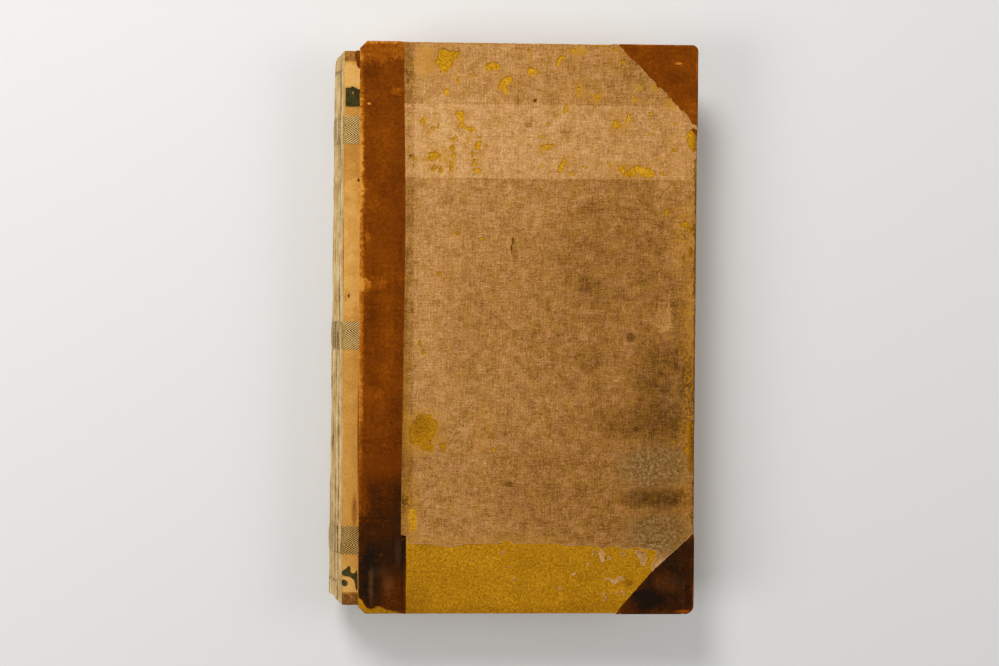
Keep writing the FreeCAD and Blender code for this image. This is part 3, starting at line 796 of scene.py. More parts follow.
def fibre_group():
    group, given, end = start_group("fibres", [
        ("Place", "Vector", None), ("Cloud Size", "Float", 6.0), ("Grain Size", "Float", 1.2)],
        ["Clouds", "Grain", "Specks"])
    place = given["Place"]
    plug(group, end["Clouds"], cloudy(place, 1.0 / given["Cloud Size"], 3.0, 0.55))
    plug(group, end["Grain"], cloudy(place, 1.0 / given["Grain Size"], 2.0, 0.6))
    dots = cloudy(place, 1.7 / given["Grain Size"], 0.0)
    plug(group, end["Specks"], dots.fade(0.66, 0.76, smooth=True))
    return group


soft_mark_effect, thread_effect, fibre_effect = soft_mark_group(), thread_group(), fibre_group()


def use(group, *inputs):
    """Add a group to a material. Its inputs come in their order, and the place comes first."""
    return node(inputs[0].tree, "ShaderNodeGroup", dict(enumerate(inputs)), node_tree=group)


def fibres(place, cloud_size, grain_size):
    return use(fibre_effect, place, cloud_size, grain_size)


def on_sheet(tree, shift=0.0):
    """The flat place of a point on a wrapped sheet, in millimetres."""
    return vector(node(tree, "ShaderNodeUVMap", uv_map="flat"), "ADD", (shift, shift, shift))


def marked(place, uneven, start, marks):
    """Add marks to a tone, stain marks and on the joint paper painted shadow lines: pixel x, y, half width,
    half height, softness and amount.
    """
    total = start
    for px, py, wide, tall, soft, amount in marks:
        reach_mm = (wide * PIXEL, tall * PIXEL, 1e6)
        mask = use(soft_mark_effect, place, (*cover_point(px, py), 0), reach_mm, soft, uneven)
        total = mask * amount + total
    return total


# %% [markdown]
# ## The cloth
#
# The linen was once one colour. It has faded to a pinkish tan and gone darker towards the fore-edge and
# the tail, partly with grime and partly as painted shade where the light falls off. It stayed lighter
# in a block near the head where something lay on it. A single value says how dark a point is, and a
# colour ramp turns it into a colour, so each zone and stain only adds to that value. Where the cloth is
# thin the yellow board shows as ochre, by the tear at the tail its white filler shows, and round the
# other losses the torn edge is painted dark brown, glue with painted shadow.

# %% Cloth finish
CLOTH_STAINS = [
    (668, 386, 34, 52, 0.5, 0.22), (650, 250, 34, 60, 0.6, 0.07), (560, 330, 70, 90, 0.7, 0.05),
    (470, 330, 26, 70, 0.6, 0.05), (660, 499, 34, 10, 0.5, 0.26), (640, 497, 9, 7, 0.5, 0.1),
    (662, 498, 13, 8, 0.5, 0.08), (672, 305, 14, 30, 0.5, 0.16), (660, 468, 26, 20, 0.5, 0.1),
    (660, 530, 24, 18, 0.5, 0.14), (610, 420, 26, 16, 0.6, 0.08), (650, 425, 40, 16, 0.5, 0.12),
    (560, 500, 60, 40, 0.6, 0.04), (585, 250, 26, 34, 0.6, 0.06), (520, 470, 30, 40, 0.6, 0.04),
    (440, 140, 30, 50, 0.5, -0.05), (590, 140, 80, 34, 0.5, -0.03), (430, 300, 22, 110, 0.5, -0.05),
    (640, 70, 24, 18, 0.6, 0.06), (672, 290, 11, 60, 0.4, -0.08), (664, 316, 8, 18, 0.3, -0.2),
    (668, 332, 8, 8, 0.4, -0.1), (662, 200, 7, 26, 0.4, -0.12), (590, 285, 16, 9, 0.5, 0.12),
    (596, 208, 14, 8, 0.5, 0.1), (590, 362, 14, 12, 0.5, 0.1), (684, 180, 12, 60, 0.4, -0.06),
    (408, 75, 5, 40, 0.25, 0.10), (688, 100, 8, 14, 0.5, 0.1), (690, 380, 6, 30, 0.4, 0.12),
    (616, 574, 70, 23, 0.2, -0.26), (535, 100.5, 1.7, 1.7, 0.2, 0.8), (513, 241, 1.0, 3.6, 0.4, 0.5),
    (511.5, 248, 0.9, 3.4, 0.4, 0.5), (515, 250, 3, 10, 0.5, 0.14), (570, 340, 3, 2, 0.5, 0.12),
    (600, 300, 20, 12, 0.6, 0.06), (540, 210, 24, 14, 0.6, -0.05), (517, 101, 2.5, 7, 0.5, 0.22),
    (529, 125, 4, 2.6, 0.4, 0.3), (532, 120, 3, 2.4, 0.5, 0.18), (564.5, 132, 5, 1.6, 0.4, 0.2),
    (568, 140, 2, 4, 0.5, 0.2), (587, 139, 2, 3.4, 0.5, 0.2), (631, 337, 5, 4, 0.5, 0.3),
    (508.5, 484, 4, 3, 0.35, 0.24), (636, 429, 2.4, 2.2, 0.4, 0.3), (655, 450, 2, 2, 0.4, 0.25),
    (410.5, 156, 1.6, 1.8, 0.4, 0.45), (406, 71, 1.8, 2.2, 0.5, 0.2), (408, 81, 1.6, 2.2, 0.5, 0.2),
    (405, 91, 1.6, 3, 0.5, 0.2), (406, 105.5, 5, 2.8, 0.25, -0.16), (405, 400, 2.8, 110, 0.5, 0.16),
    (405, 500, 3, 5, 0.5, 0.5), (484.6, 429, 1.2, 1.6, 0.4, 0.4), (463, 426, 1.0, 1.2, 0.4, 0.3)]
THIN_CLOTH = [
    (424, 61, 10, 15, 0.25, 0.5), (452.5, 157, 4, 15, 0.35, 0.6), (444, 156, 4, 6, 0.4, 0.6),
    (579, 51.5, 10, 4.5, 0.4, 0.7), (528.5, 55, 2, 7, 0.4, 0.6), (596.5, 98, 4, 4.4, 0.4, 0.7),
    (579.5, 90, 4, 6.6, 0.45, 0.7), (639.5, 88, 4, 3, 0.4, 0.7), (635.5, 99.5, 4, 2.8, 0.4, 0.6),
    (650.5, 101.5, 2, 2.6, 0.4, 0.6), (457, 80, 3.4, 6, 0.4, 0.5), (446.5, 92, 3.6, 4.6, 0.4, 0.5),
    (471.5, 77, 3, 3.2, 0.4, 0.6), (660, 157.5, 2.2, 2.6, 0.4, 0.6), (541, 165.5, 2.2, 2.8, 0.4, 0.6),
    (540.5, 151.5, 3.6, 1.8, 0.4, 0.6), (655, 88, 4, 5.4, 0.4, 0.5), (670, 105, 6.5, 5.6, 0.4, 0.5),
    (580, 86, 1.6, 3, 0.4, 0.4), (406, 420, 2.6, 90, 0.5, 0.3), (424, 432, 19, 24, 0.3, 0.25),
    (480, 540, 90, 5, 0.6, 0.2), (690, 300, 4, 130, 0.5, 0.1), (412, 522, 8, 20, 0.4, 0.3)]
RUBBED_CLOTH = [
    (437, 160, 15, 17, 0.4, 0.9), (474, 152, 12, 16, 0.4, 0.7), (462, 120, 12, 13, 0.5, 0.5),
    (546, 147, 9, 6, 0.5, 0.8), (565, 165, 8, 11, 0.5, 0.7), (634, 171, 24, 9, 0.5, 0.8),
    (622, 124, 13, 14, 0.5, 0.6), (444, 60, 17, 15, 0.5, 0.8), (424, 432, 19, 22, 0.4, 0.8),
    (430, 124, 12, 12, 0.5, 0.5), (505, 84, 14, 14, 0.5, 0.5), (535, 70, 12, 8, 0.5, 0.5),
    (676, 150, 14, 40, 0.5, 0.4), (684, 235, 12, 30, 0.5, 0.8), (690, 330, 8, 70, 0.5, 0.6),
    (482, 430, 8, 24, 0.5, 0.5), (440, 275, 14, 12, 0.5, 0.3), (412, 500, 8, 26, 0.4, 0.6),
    (615, 52, 14, 12, 0.5, 0.5), (560, 58, 12, 12, 0.5, 0.4), (422, 345, 8, 14, 0.5, 0.4),
    (688, 450, 8, 60, 0.5, 0.6), (580, 90, 22, 12, 0.5, 0.4), (595, 98, 12, 8, 0.4, 0.5),
    (456, 232, 12, 8, 0.5, 0.3)]
MOULD = [
    (660, 466, 34, 20, 0.5, 0.9), (658, 534, 32, 19, 0.5, 0.9), (636, 470, 20, 22, 0.6, 0.3),
    (655, 550, 14, 12, 0.5, 0.4), (672, 400, 14, 20, 0.5, 0.2)]


def down_to(py):
    return cover_point(500, py)[1]


def across_to(px):
    return cover_point(px, 333)[0]


# Each zone is an axis, where it begins and ends, and what it adds to the darkness. The first two make
# the lighter block near the head. The third and fourth darken towards the fore-edge and the tail, partly
# with grime and partly as painted shade where the light falls off.
CLOTH_ZONES = [("y", down_to(103), down_to(105.5), -0.13), ("y", down_to(177.4), down_to(179), 0.20),
               ("x", across_to(450), across_to(640), 0.13), ("y", down_to(390), down_to(470), 0.05),
               ("x", across_to(415), across_to(411.5), 0.16)]


def cloth_finish(name, marks=(), thin=(), zones=(), shift=0.0, start=0.36, front=False):
    made, tree, shader, _ = start_material(name)
    flat, place = on_sheet(tree), on_sheet(tree, shift)
    clouds, grain, specks = fibres(place, 9.0, 1.5)
    blots, freckles, _ = fibres(place, 4.2, 0.7)
    _, tooth, pits = fibres(place, 20.0, 0.42)
    threads, slubs = use(thread_effect, place, 0.85, 9.0)
    uneven = clouds * 0.8 + (grain * 0.5 - 0.65)
    x, y, _ = split(flat)
    darkness = start
    for axis, first, last, amount in zones:
        here = uneven * 0.48 + (y if axis == "y" else x)
        darkness = here.fade(first, last, amount, smooth=True) + darkness
    darkness = varied(marked(flat, uneven, darkness, marks), (clouds, 0.45), (blots, 0.5), (grain, 0.6),
                  (freckles, 0.75), (tooth, 1.2), (threads, 0.9))
    darkness = (darkness + specks * 0.12 + pits * 0.06 - slubs * 0.07).clamped()
    shade = ramp(darkness, (0.0, 222, 176, 120), (0.2, 202, 152, 94), (0.42, 178, 127, 68),
                 (0.62, 152, 101, 42), (0.82, 114, 72, 22), (1.0, 76, 48, 12))
    drift = speckle(place, 0.13, 3.0, 0.6, offset=(7, 3, 0))
    for low, high, tint in ((0.49, 0.62, colour(172, 122, 42)), (0.46, 0.34, colour(190, 128, 78))):
        dull = node(tree, "ShaderNodeHueSaturation", {"Color": tint, "Value": darkness * -0.9 + 1.35})
        shade = mix(drift.fade(low, high, 0.36), shade, dull)
    rust = speckle(place, 0.6, 2.0, 0.8, offset=(2, 9, 0)).fade(0.58, 0.70, 0.65)
    shade = mix(rust, shade, (134, 80, 36))
    ochre = marked(flat, uneven, 0.0, thin) * (grain * 1.2 + 0.35)
    shade = mix(ochre.clamped(), shade, (194, 136, 40))
    if front:
        bits = speckle(place, 0.55, 3.0, 0.7, offset=(1, 4, 0)).fade(0.49, 0.55)
        near = marked(flat, uneven, 0.0, RUBBED_CLOTH)
        shade = mix((near * bits).clamped(), shade, (186, 126, 30))
        grey = marked(flat, uneven, 0.0, MOULD)
        crust = speckle(place, 0.5, 4.0, 0.85, offset=(6, 1, 0))
        pores, spots = crust.fade(0.46, 0.36, 0.8), crust.fade(0.5, 0.64)
        for share, tint in ((0.6, (126, 90, 38)), (pores, (66, 48, 22)), (spots, (172, 140, 96))):
            shade = mix((grey * share).clamped(), shade, tint)
    # Along a torn edge at the tail the white filler shows. Round the other losses the edge is painted dark
    # brown: glue, with painted shadow along the edge.
    torn_rim = (grain * 0.8 + attribute(tree, "torn_edge")).fade(1.0, 1.35)
    at_tail = y.fade(-100.0, -110.0)
    filler_and_edge_shade = mix(at_tail, (150, 98, 44), (206, 160, 116))
    shade = mix(torn_rim * (at_tail * 0.35 + 0.45), shade, filler_and_edge_shade)
    end_material(shader, shade, threads + blots * 0.6, 0.5, 0.00016, 0.88)
    return made


BACK_STAINS = [(640, 480, 70, 90, 0.6, 0.16), (440, 160, 50, 80, 0.6, 0.1),
               (540, 330, 60, 160, 0.7, -0.08)]
front_cloth_finish = cloth_finish("worn_front_cloth", CLOTH_STAINS, THIN_CLOTH, CLOTH_ZONES, front=True)
back_cloth_finish = cloth_finish("rubbed_back_cloth", BACK_STAINS, shift=311.0, start=0.44)

# %% [markdown]
# ## The pasteboard
#
# The board is straw board: yellow, soft, and full of short fibres and brown specks. Handling has
# darkened it, most of all where the cloth has been gone longest.

# %% Board finish
def board_finish(name, marks=()):
    made, _, shader, place = start_material(name)
    clouds, grain, specks = fibres(place, 14.0, 1.6)
    _, fine, dust = fibres(place, 5.0, 0.75)
    darkness = marked(place, clouds * 0.9 + (grain * 0.5 - 0.7), 0.34, marks)
    darkness = varied(darkness, (clouds, 0.35), (grain, 0.8), (fine, 1.2)) + specks * 0.16 - dust * 0.08
    shade = ramp(darkness.clamped(), (0.0, 216, 158, 34), (0.3, 180, 124, 12), (0.55, 154, 101, 10),
                 (0.8, 118, 72, 8), (1.0, 70, 42, 10))
    end_material(shader, shade, grain + fine, 0.45, 0.0002, 0.85)
    return made


front_board_finish = board_finish("bare_front_board", [
    (697, 340, 8, 260, 0.3, 0.38), (560, 120, 160, 70, 0.4, -0.16), (412, 522, 10, 20, 0.5, -0.12),
    (425, 432, 16, 18, 0.5, 0.07), (430, 585, 34, 34, 0.6, 0.04), (415, 600, 14, 18, 0.5, 0.1),
    (420, 426, 9, 10, 0.4, 0.16), (560, 580, 60, 30, 0.6, 0.03), (629, 583, 4, 3.5, 0.5, 0.3),
    (600, 606, 40, 5, 0.6, 0.08), (650, 172, 12, 5, 0.5, -0.1), (500, 610, 100, 4, 0.6, 0.08),
    (385, 609, 25, 9, 0.4, 0.12)])
plain_board_finish = board_finish("covered_board")
for side, finish in (("front", front_board_finish), ("back", plain_board_finish)):
    from_mesh(f"{side}_board_worn", board_meshes[side], finish, f"{side}_cover", f"{side}_board",
              slot="pasteboard")

# %% [markdown]
# ## Cloth sides
#
# Both sides are cut, wrapped and given their finish here. The hidden back one is whole: its corners
# and joint edge are the same straight cuts, with no tear.

# %% Front and back cloth
def cloth_thickness(flat):
    return np.full(len(flat), 0.3)


holes = losses + flakes + rim_losses
front_mesh = cut_sheet("front_cloth_side", "front", front_cloth, cloth_thickness, holes,
                       [head_fray, tail_fray] + holes, under_cloth("front"))
from_mesh("front_cloth_side", front_mesh, front_cloth_finish, "front_cover", "front_siding",
          slot="book_cloth")


def corner_line(side, end):
    """Where a leather corner begins on the head or tail edge (x) and on the fore-edge (y)."""
    wide, tall = CORNERS[side, end]
    return BOARD["right"] - wide, BOARD["half"] - tall


back_cloth = [(STRIP, outer["head"])]
x, y = corner_line("back", "head")
back_cloth += [(x, outer["head"]), (x, BOARD["half"]), (BOARD["right"], y), (outer["fore"], y)]
x, y = corner_line("back", "tail")
back_cloth += [(outer["fore"], -y), (BOARD["right"], -y), (x, -BOARD["half"]), (x, -outer["head"]),
               (STRIP, -outer["head"])]
back_mesh = cut_sheet("back_cloth_side", "back", back_cloth, cloth_thickness,
                      under=under_cloth("back"))
from_mesh("back_cloth_side", back_mesh, back_cloth_finish, "back_cover", "back_siding",
          slot="book_cloth")

# %% [markdown]
# ## The leather
#
# The leather is a soft, suede-like sheepskin with its grain worn off. It is pared to a thin edge
# where the cloth laps over it. A corner is a triangle that turns in over both edges, so its flat
# outline is mitred at the tip, as a binder cuts it. The strip's spine edge is where the lost spine
# was torn away, and at the tail its end has torn off with it.

# %% Outlines of the strips and corners
FAN = BENDS[3] - RIM


def corner_sheet(side, end, inner_edge):
    """The flat outline of a leather corner. inner_edge runs from the fore-edge to the head or tail."""
    round_ = ROUNDS[side][0 if end == "head" else 1]
    sign = 1 if end == "head" else -1
    cx, cy = BOARD["right"] - round_, BOARD["half"] - round_
    tip = arc(cx, cy, round_ + FAN + round_ - RIM, 0, 90, 8)
    start, finish = inner_edge[0], inner_edge[-1]
    loop = [(outer["fore"], sign * start[1]), (outer["fore"], cy - (TURN_IN - FAN - round_ + RIM))] + tip
    loop += [(cx - (TURN_IN - FAN - round_ + RIM), outer["head"]), (finish[0], outer["head"])]
    return [(x, sign * y) for x, y in loop] + list(reversed(inner_edge))


def lapped(side, end):
    """The straight pared edge of a corner, which lies under the cloth."""
    wide, tall = CORNERS[side, end]
    more = LAP * math.hypot(wide, tall)
    sign = 1 if end == "head" else -1
    return [(BOARD["right"], sign * (BOARD["half"] - tall - more / wide)),
            (BOARD["right"] - wide - more / tall, sign * BOARD["half"])]


real_tail_edge = ragged(on_cover([(656, 567.3), (652, 571.5), (643, 582), (632, 594.5), (620, 608),
                                  (616.2, 614.2)]), 0.12)
front_tail_edge = [lapped("front", "tail")[0]] + real_tail_edge

V_LEFT = BOARD["left"] - 0.25


def strip_sheet(whole):
    """The strip beside the joint, with its ends wrapped round the cut corner and the edge."""
    lap = STRIP + LAP
    x0, y0 = BOARD["left"] + BOARD["cut"], BOARD["half"] - BOARD["cut"]
    deep = 5.5
    end = [(lap, BOARD["half"] + TURN_IN), (x0 + 1.2, BOARD["half"] + TURN_IN), (x0, BOARD["half"] + deep),
           (x0 - 1.8, BOARD["half"] + deep - 0.4), (BOARD["left"] - 2.6, BOARD["half"] + 1.2),
           (V_LEFT, y0 - 1.5)]
    joint_edge = ragged([(V_LEFT, y0 - 1.5), (V_LEFT, -y0 + 1.5)], 0.14, 0.9)
    if whole:
        return end[:-1] + joint_edge + [(x, -y) for x, y in reversed(end[:-1])], [joint_edge]
    tear = ragged(on_cover([(358.6, 597), (362, 600), (364, 604), (367, 608), (373, 608.5),
                            (376, 606), (379, 606), (385, 609), (390, 610), (395, 611),
                            (401, 613.2), (404.5, 614.5)]), 0.2)
    tail = [(lap, tear[-1][1] - 1.2)]
    joint_edge = ragged([(V_LEFT, y0 - 1.5), (tear[0][0], tear[0][1] + 0.2)], 0.14, 0.9)
    right = ragged([(lap, -BOARD["half"] - 0.6), (lap, height_at(545)), (lap - 0.2, height_at(500))], 0.12)
    return end[:-1] + joint_edge + tear + tail + right, [joint_edge, tear]


# %% Leather finish
LEATHER_STAINS = [
    (380, 430, 60, 30, 0.6, 0.06), (380, 520, 70, 45, 0.5, 0.36), (384, 590, 40, 44, 0.5, 0.26),
    (368, 588, 13, 34, 0.5, 0.26), (374, 600, 3, 6, 0.6, -0.06), (400, 330, 8, 300, 0.8, 0.08),
    (371, 68, 11, 9, 0.4, 0.14), (383, 200, 16, 60, 0.6, 0.04), (366, 40, 60, 22, 0.12, -0.14),
    (361, 120, 3.0, 90, 0.5, -0.16), (360.5, 300, 3.2, 170, 0.5, -0.24), (362, 170, 4, 22, 0.5, -0.14),
    (360, 500, 8, 24, 0.6, -0.2), (381, 41, 30, 2.6, 0.5, -0.2), (372, 330, 9, 60, 0.7, 0.12),
    (374, 90, 16, 26, 0.6, 0.06), (381, 450, 24, 14, 0.6, 0.06), (396.5, 91.5, 6, 5, 0.5, -0.22),
    (367.5, 236.5, 3, 6, 0.5, -0.2), (365.5, 286, 6, 7, 0.5, -0.24), (376, 283, 9, 6, 0.5, -0.14),
    (374, 394, 9, 8, 0.6, -0.1), (369.5, 103.5, 1.6, 1.2, 0.4, -0.5), (371, 585, 2.4, 16, 0.6, -0.1),
    (388, 585, 5, 8, 0.6, -0.02), (381.5, 555, 1.2, 1.2, 0.5, -0.25), (405, 548, 3, 12, 0.4, 0.12),
    (402, 575, 1.2, 34, 0.4, 0.12), (402.5, 540, 1.2, 1.2, 0.5, -0.25), (404.5, 518, 1.8, 5, 0.5, -0.5),
    (404.6, 530, 1.4, 3, 0.5, -0.5), (672, 575, 40, 46, 0.35, 0.5), (636, 606, 24, 16, 0.5, 0.34),
    (668, 583, 16, 10, 0.6, -0.12), (648, 612, 34, 2.4, 0.5, -0.06), (694.5, 596, 2.4, 16, 0.5, -0.5),
    (684, 611.5, 10, 1.8, 0.5, -0.4), (691.5, 575, 2, 20, 0.5, -0.1), (683, 597, 2.2, 13, 0.5, -0.1),
    (690, 60, 12, 18, 0.7, -0.03), (660, 44, 44, 2, 0.5, -0.16), (698.5, 65, 2, 24, 0.5, -0.16),
    (680, 80, 18, 24, 0.7, 0.07), (678.5, 63.5, 3.2, 1, 0.4, -0.3), (652, 72, 14, 20, 0.7, 0.04),
    (690, 110, 10, 12, 0.6, -0.1)]


def leather_finish(name, marks=(), rubs=(), shift=0.0, start=0.4):
    made, tree, shader, _ = start_material(name)
    flat, place = on_sheet(tree), on_sheet(tree, shift)
    clouds, grain, specks = fibres(place, 13.0, 2.2)
    _, nap, scuffs = fibres(place, 4.0, 0.8)
    streaks, _ = use(thread_effect, place, 2.2, 14.0)
    uneven = clouds + (grain * 0.8 - 0.9)
    dark = varied(marked(flat, uneven, start, marks), (clouds, 0.42), (grain, 0.42), (nap, 0.5),
                  (streaks, 0.3)) + specks * 0.05
    dark = (dark - attribute(tree, "torn_edge") * 0.12 - scuffs * 0.10).clamped()
    shade = ramp(dark, (0.0, 206, 138, 52), (0.16, 164, 90, 12), (0.36, 128, 62, 2),
                 (0.55, 103, 46, 1), (0.75, 64, 29, 2), (1.0, 28, 18, 10))
    if rubs:
        rubbed = marked(flat, uneven, 0.0, rubs) * (nap * 2.4 - 0.9)
        shade = mix(rubbed.clamped(), shade, (120, 82, 52))
    rough = dark.fade(0.0, 1.0, 0.6, 0.85)
    end_material(shader, shade, grain * 1.2 + nap, 0.5, 0.00022, rough, 0.03)
    return made


LEATHER_RUBS = [(371, 585, 2.6, 16, 0.5, 0.7), (388, 585, 5, 9, 0.5, 0.5), (378, 572, 8, 5, 0.6, 0.3),
                (398, 552, 3, 12, 0.6, 0.4), (668, 583, 16, 8, 0.6, 0.25)]
front_leather = leather_finish("worn_front_leather", LEATHER_STAINS, LEATHER_RUBS)
back_leather = leather_finish("rubbed_back_leather", shift=173.0, start=0.46)

# %% Strips and corners
for side, finish in (("front", front_leather), ("back", back_leather)):
    outline, rag = strip_sheet(whole=side == "back")
    sheets = [("strip", "spine_leather", outline, strip_thickness, rag)]
    for end in ("head", "tail"):
        torn_off = (side, end) == ("front", "tail")
        inner = front_tail_edge if torn_off else lapped(side, end)
        sheets.append((f"corner_{end}", f"corner_{end}", corner_sheet(side, end, inner),
                       corner_thickness(side, end), [real_tail_edge] if torn_off else []))
    for label, node_name, outline, thickness, rag in sheets:
        name = f"{side}_leather_{label}"
        mesh = cut_sheet(name, side, outline, thickness, torn=rag, grid=3.0)
        from_mesh(name, mesh, finish, f"{side}_cover", f"{side}_{node_name}", slot="leather")

# %% [markdown]
# ## The leaves
#
# A sewn book is a pile of sections, each a few sheets folded together. One section is made here as
# three sheets lying inside each other, each a thin band that goes in from the fore-edge, round the
# fold and back. Geometry Nodes pile twelve of them up, shift each a little, as folding and handling
# did, and then push the whole pile into the round of the spine and the hollow of the fore-edge.

# %% One folded section
LEAVES = {"low": 4.15, "high": 36.15, "half": 160.0, "fore": 100.889, "shoulder": BOARD["left"] - 9.6}
MIDDLE, HALF_THICK = (LEAVES["high"] + LEAVES["low"]) / 2, (LEAVES["high"] - LEAVES["low"]) / 2
SECTIONS = 12
SECTION_THICK = 2 * HALF_THICK / SECTIONS


def folded_sheet(outer_half, thick, fold, fore):
    """A band folded round the spine: its outer half height, thickness and the depth of its fold."""
    def path(half, reach, end):
        bend = [(LEAVES["shoulder"] + 1.1 - reach * math.cos(t), half * math.sin(t))
                for t in np.linspace(math.pi / 2, -math.pi / 2, 9)]
        return [(end, half)] + bend + [(end, -half)]
    return path(outer_half, fold, fore) + path(outer_half - thick, fold - thick * 1.1, fore)[::-1]


def section_mesh():
    bm = bmesh.new()
    dice = random.Random(5)
    for k, (half, fold) in enumerate(((1.32, 1.6), (0.88, 1.1), (0.44, 0.62))):
        cut = LEAVES["half"] - dice.uniform(0.0, 0.5)
        ring = folded_sheet(half, 0.41, fold, LEAVES["fore"] - dice.uniform(0.0, 0.4))
        rows = []
        for y in np.linspace(-cut, cut, 65):
            wave = 0.036 * noise.noise(Vector((y * 0.03, k, 0)))
            rows.append([bm.verts.new((x * MM, y * MM, (z + wave) * MM)) for x, z in ring])
        for a, b in zip(rows, rows[1:]):
            for i in range(len(ring)):
                j = (i + 1) % len(ring)
                bm.faces.new((a[i], a[j], b[j], b[i]))
        count = len(ring)
        for row, flip in ((rows[0], False), (rows[-1], True)):
            for i in range(count // 2 - 1):
                quad = (row[i], row[count - 1 - i], row[count - 2 - i], row[i + 1])
                bm.faces.new(quad if not flip else quad[::-1])
    bmesh.ops.recalc_face_normals(bm, faces=bm.faces)
    mesh = bpy.data.meshes.new("one_section")
    bm.to_mesh(mesh)
    bm.free()
    return mesh


print("One section:", len(section_mesh().polygons), "faces")

# %% Tools for Geometry Nodes
def start_tree(name, numbers):
    """A Geometry Nodes tree with named number inputs. Returns the tree, its inputs and its end."""
    tree = bpy.data.node_groups.new(name, "GeometryNodeTree")
    tree.interface.new_socket("Geometry", in_out="INPUT", socket_type="NodeSocketGeometry")
    tree.interface.new_socket("Geometry", in_out="OUTPUT", socket_type="NodeSocketGeometry")
    for label, value in numbers.items():
        kind = "NodeSocketInt" if isinstance(value, int) else "NodeSocketFloat"
        tree.interface.new_socket(label, in_out="INPUT", socket_type=kind).default_value = value
    tree.interface.new_socket("Material", in_out="INPUT", socket_type="NodeSocketMaterial")
    return tree, Value(tree, tree.nodes.new("NodeGroupInput")), tree.nodes.new("NodeGroupOutput").inputs


def finish_tree(given, end, geometry):
    """Every tree ends the same way: instances made real, then the material."""
    tree = geometry.tree
    real = node(tree, "GeometryNodeRealizeInstances", {0: geometry})
    plug(tree, end[0], node(tree, "GeometryNodeSetMaterial", {
        "Geometry": real, "Material": given["Material"]}))
    return tree


def moved(geometry, offset):
    return node(geometry.tree, "GeometryNodeSetPosition", {"Geometry": geometry, "Offset": offset})


def put_on(points, instance):
    return node(points.tree, "GeometryNodeInstanceOnPoints", {"Points": points, "Instance": instance})


def stray(tree, low, high, seed):
    return node(tree, "FunctionNodeRandomValue", {0: low, 1: high, "Seed": seed},
                data_type="FLOAT_VECTOR")


def section_points(tree, given, height_up=0.0):
    """A point in the middle of each section, one above the other."""
    thick = given["Section Thickness"]
    return node(tree, "GeometryNodeMeshLine", {
        "Count": given["Sections"], "Offset": combine(tree, 0.0, 0.0, thick),
        "Start Location": combine(tree, 0.0, height_up, thick * 0.5 + given["Lowest"])}, mode="OFFSET")


def dome_at(given, z):
    """1 in the middle of the leaves' thickness and 0 at their faces."""
    up = (z - given["Middle"]) / given["Half Height"]
    return 1.0 - up * up


def grow(name, tree, mesh, material, **values):
    """Run a tree on a mesh and give back the plain mesh that comes out."""
    holder = bpy.data.objects.new(name + "_maker", mesh)
    bpy.context.scene.collection.objects.link(holder)
    modifier = holder.modifiers.new(name, "NODES")
    modifier.node_group = tree
    values["Material"] = material
    for socket in tree.interface.items_tree:
        label = socket.name.replace(" ", "_")
        if socket.in_out == "INPUT" and label in values:
            modifier[socket.identifier] = values[label]
    bpy.context.view_layer.update()
    depsgraph = bpy.context.evaluated_depsgraph_get()
    made = bpy.data.meshes.new_from_object(holder.evaluated_get(depsgraph))
    made.name = name
    holder.modifiers.remove(modifier)
    bpy.data.objects.remove(holder)
    print(f"{name}: {len(made.polygons)} faces grown")
    return made


# %% The pile of sections
def pile_tree():
    tree, given, end = start_tree("pile_of_sections", {
        "Sections": SECTIONS, "Section Thickness": SECTION_THICK * MM, "Lowest": LEAVES["low"] * MM,
        "Slip": 0.0004, "Round at Head": 0.0056, "Round at Tail": 0.008, "Hollow": 0.004,
        "Half Length": 0.16, "Shoulder": LEAVES["shoulder"] * MM, "Fore Edge": LEAVES["fore"] * MM,
        "Middle": MIDDLE * MM, "Half Height": HALF_THICK * MM, "Waviness": 0.0022, "Corner Wear": 0.0042,
        "Seed": 4})
    slip, half = given["Slip"], given["Half Length"]
    less = slip * -1.0
    shifts = stray(tree, combine(tree, less, less), combine(tree, 0.0, slip), given["Seed"])
    pile = put_on(moved(section_points(tree, given), shifts), given["Geometry"])
    real = node(tree, "GeometryNodeRealizeInstances", {0: pile})
    x, y, z = split(node(tree, "GeometryNodeInputPosition"))
    dome = dome_at(given, z)
    toward_tail = 0.5 - y / (half * 2.0)
    more = given["Round at Tail"] - given["Round at Head"]
    bulge = (toward_tail * more + given["Round at Head"]) * dome
    across = (x - given["Shoulder"]) / (given["Fore Edge"] - given["Shoulder"])
    at_spine = maths(tree, "POWER", (1.0 - across).clamped(), 6.0)
    at_fore = maths(tree, "POWER", maths(tree, "MAXIMUM", across, 0.0), 6.0) * given["Hollow"]
    number = maths(tree, "FLOOR", (z - given["Lowest"]) / given["Section Thickness"])
    own_place = vector(combine(tree, number * 3.7, y), "MULTIPLY", (1.0, 26.0, 1.0))
    wander = (cloudy(own_place, 1.0, 4.0, 0.55) - 0.55) * at_spine
    shift = wander * given["Waviness"] + (bulge * at_spine + at_fore * dome)
    past = ((given["Shoulder"] + 0.0005 - (x - shift)) / 0.006).clamped()
    pull = past * given["Corner Wear"] / half
    return finish_tree(given, end, moved(real, combine(tree, shift * -1.0, pull * y * -1.0)))


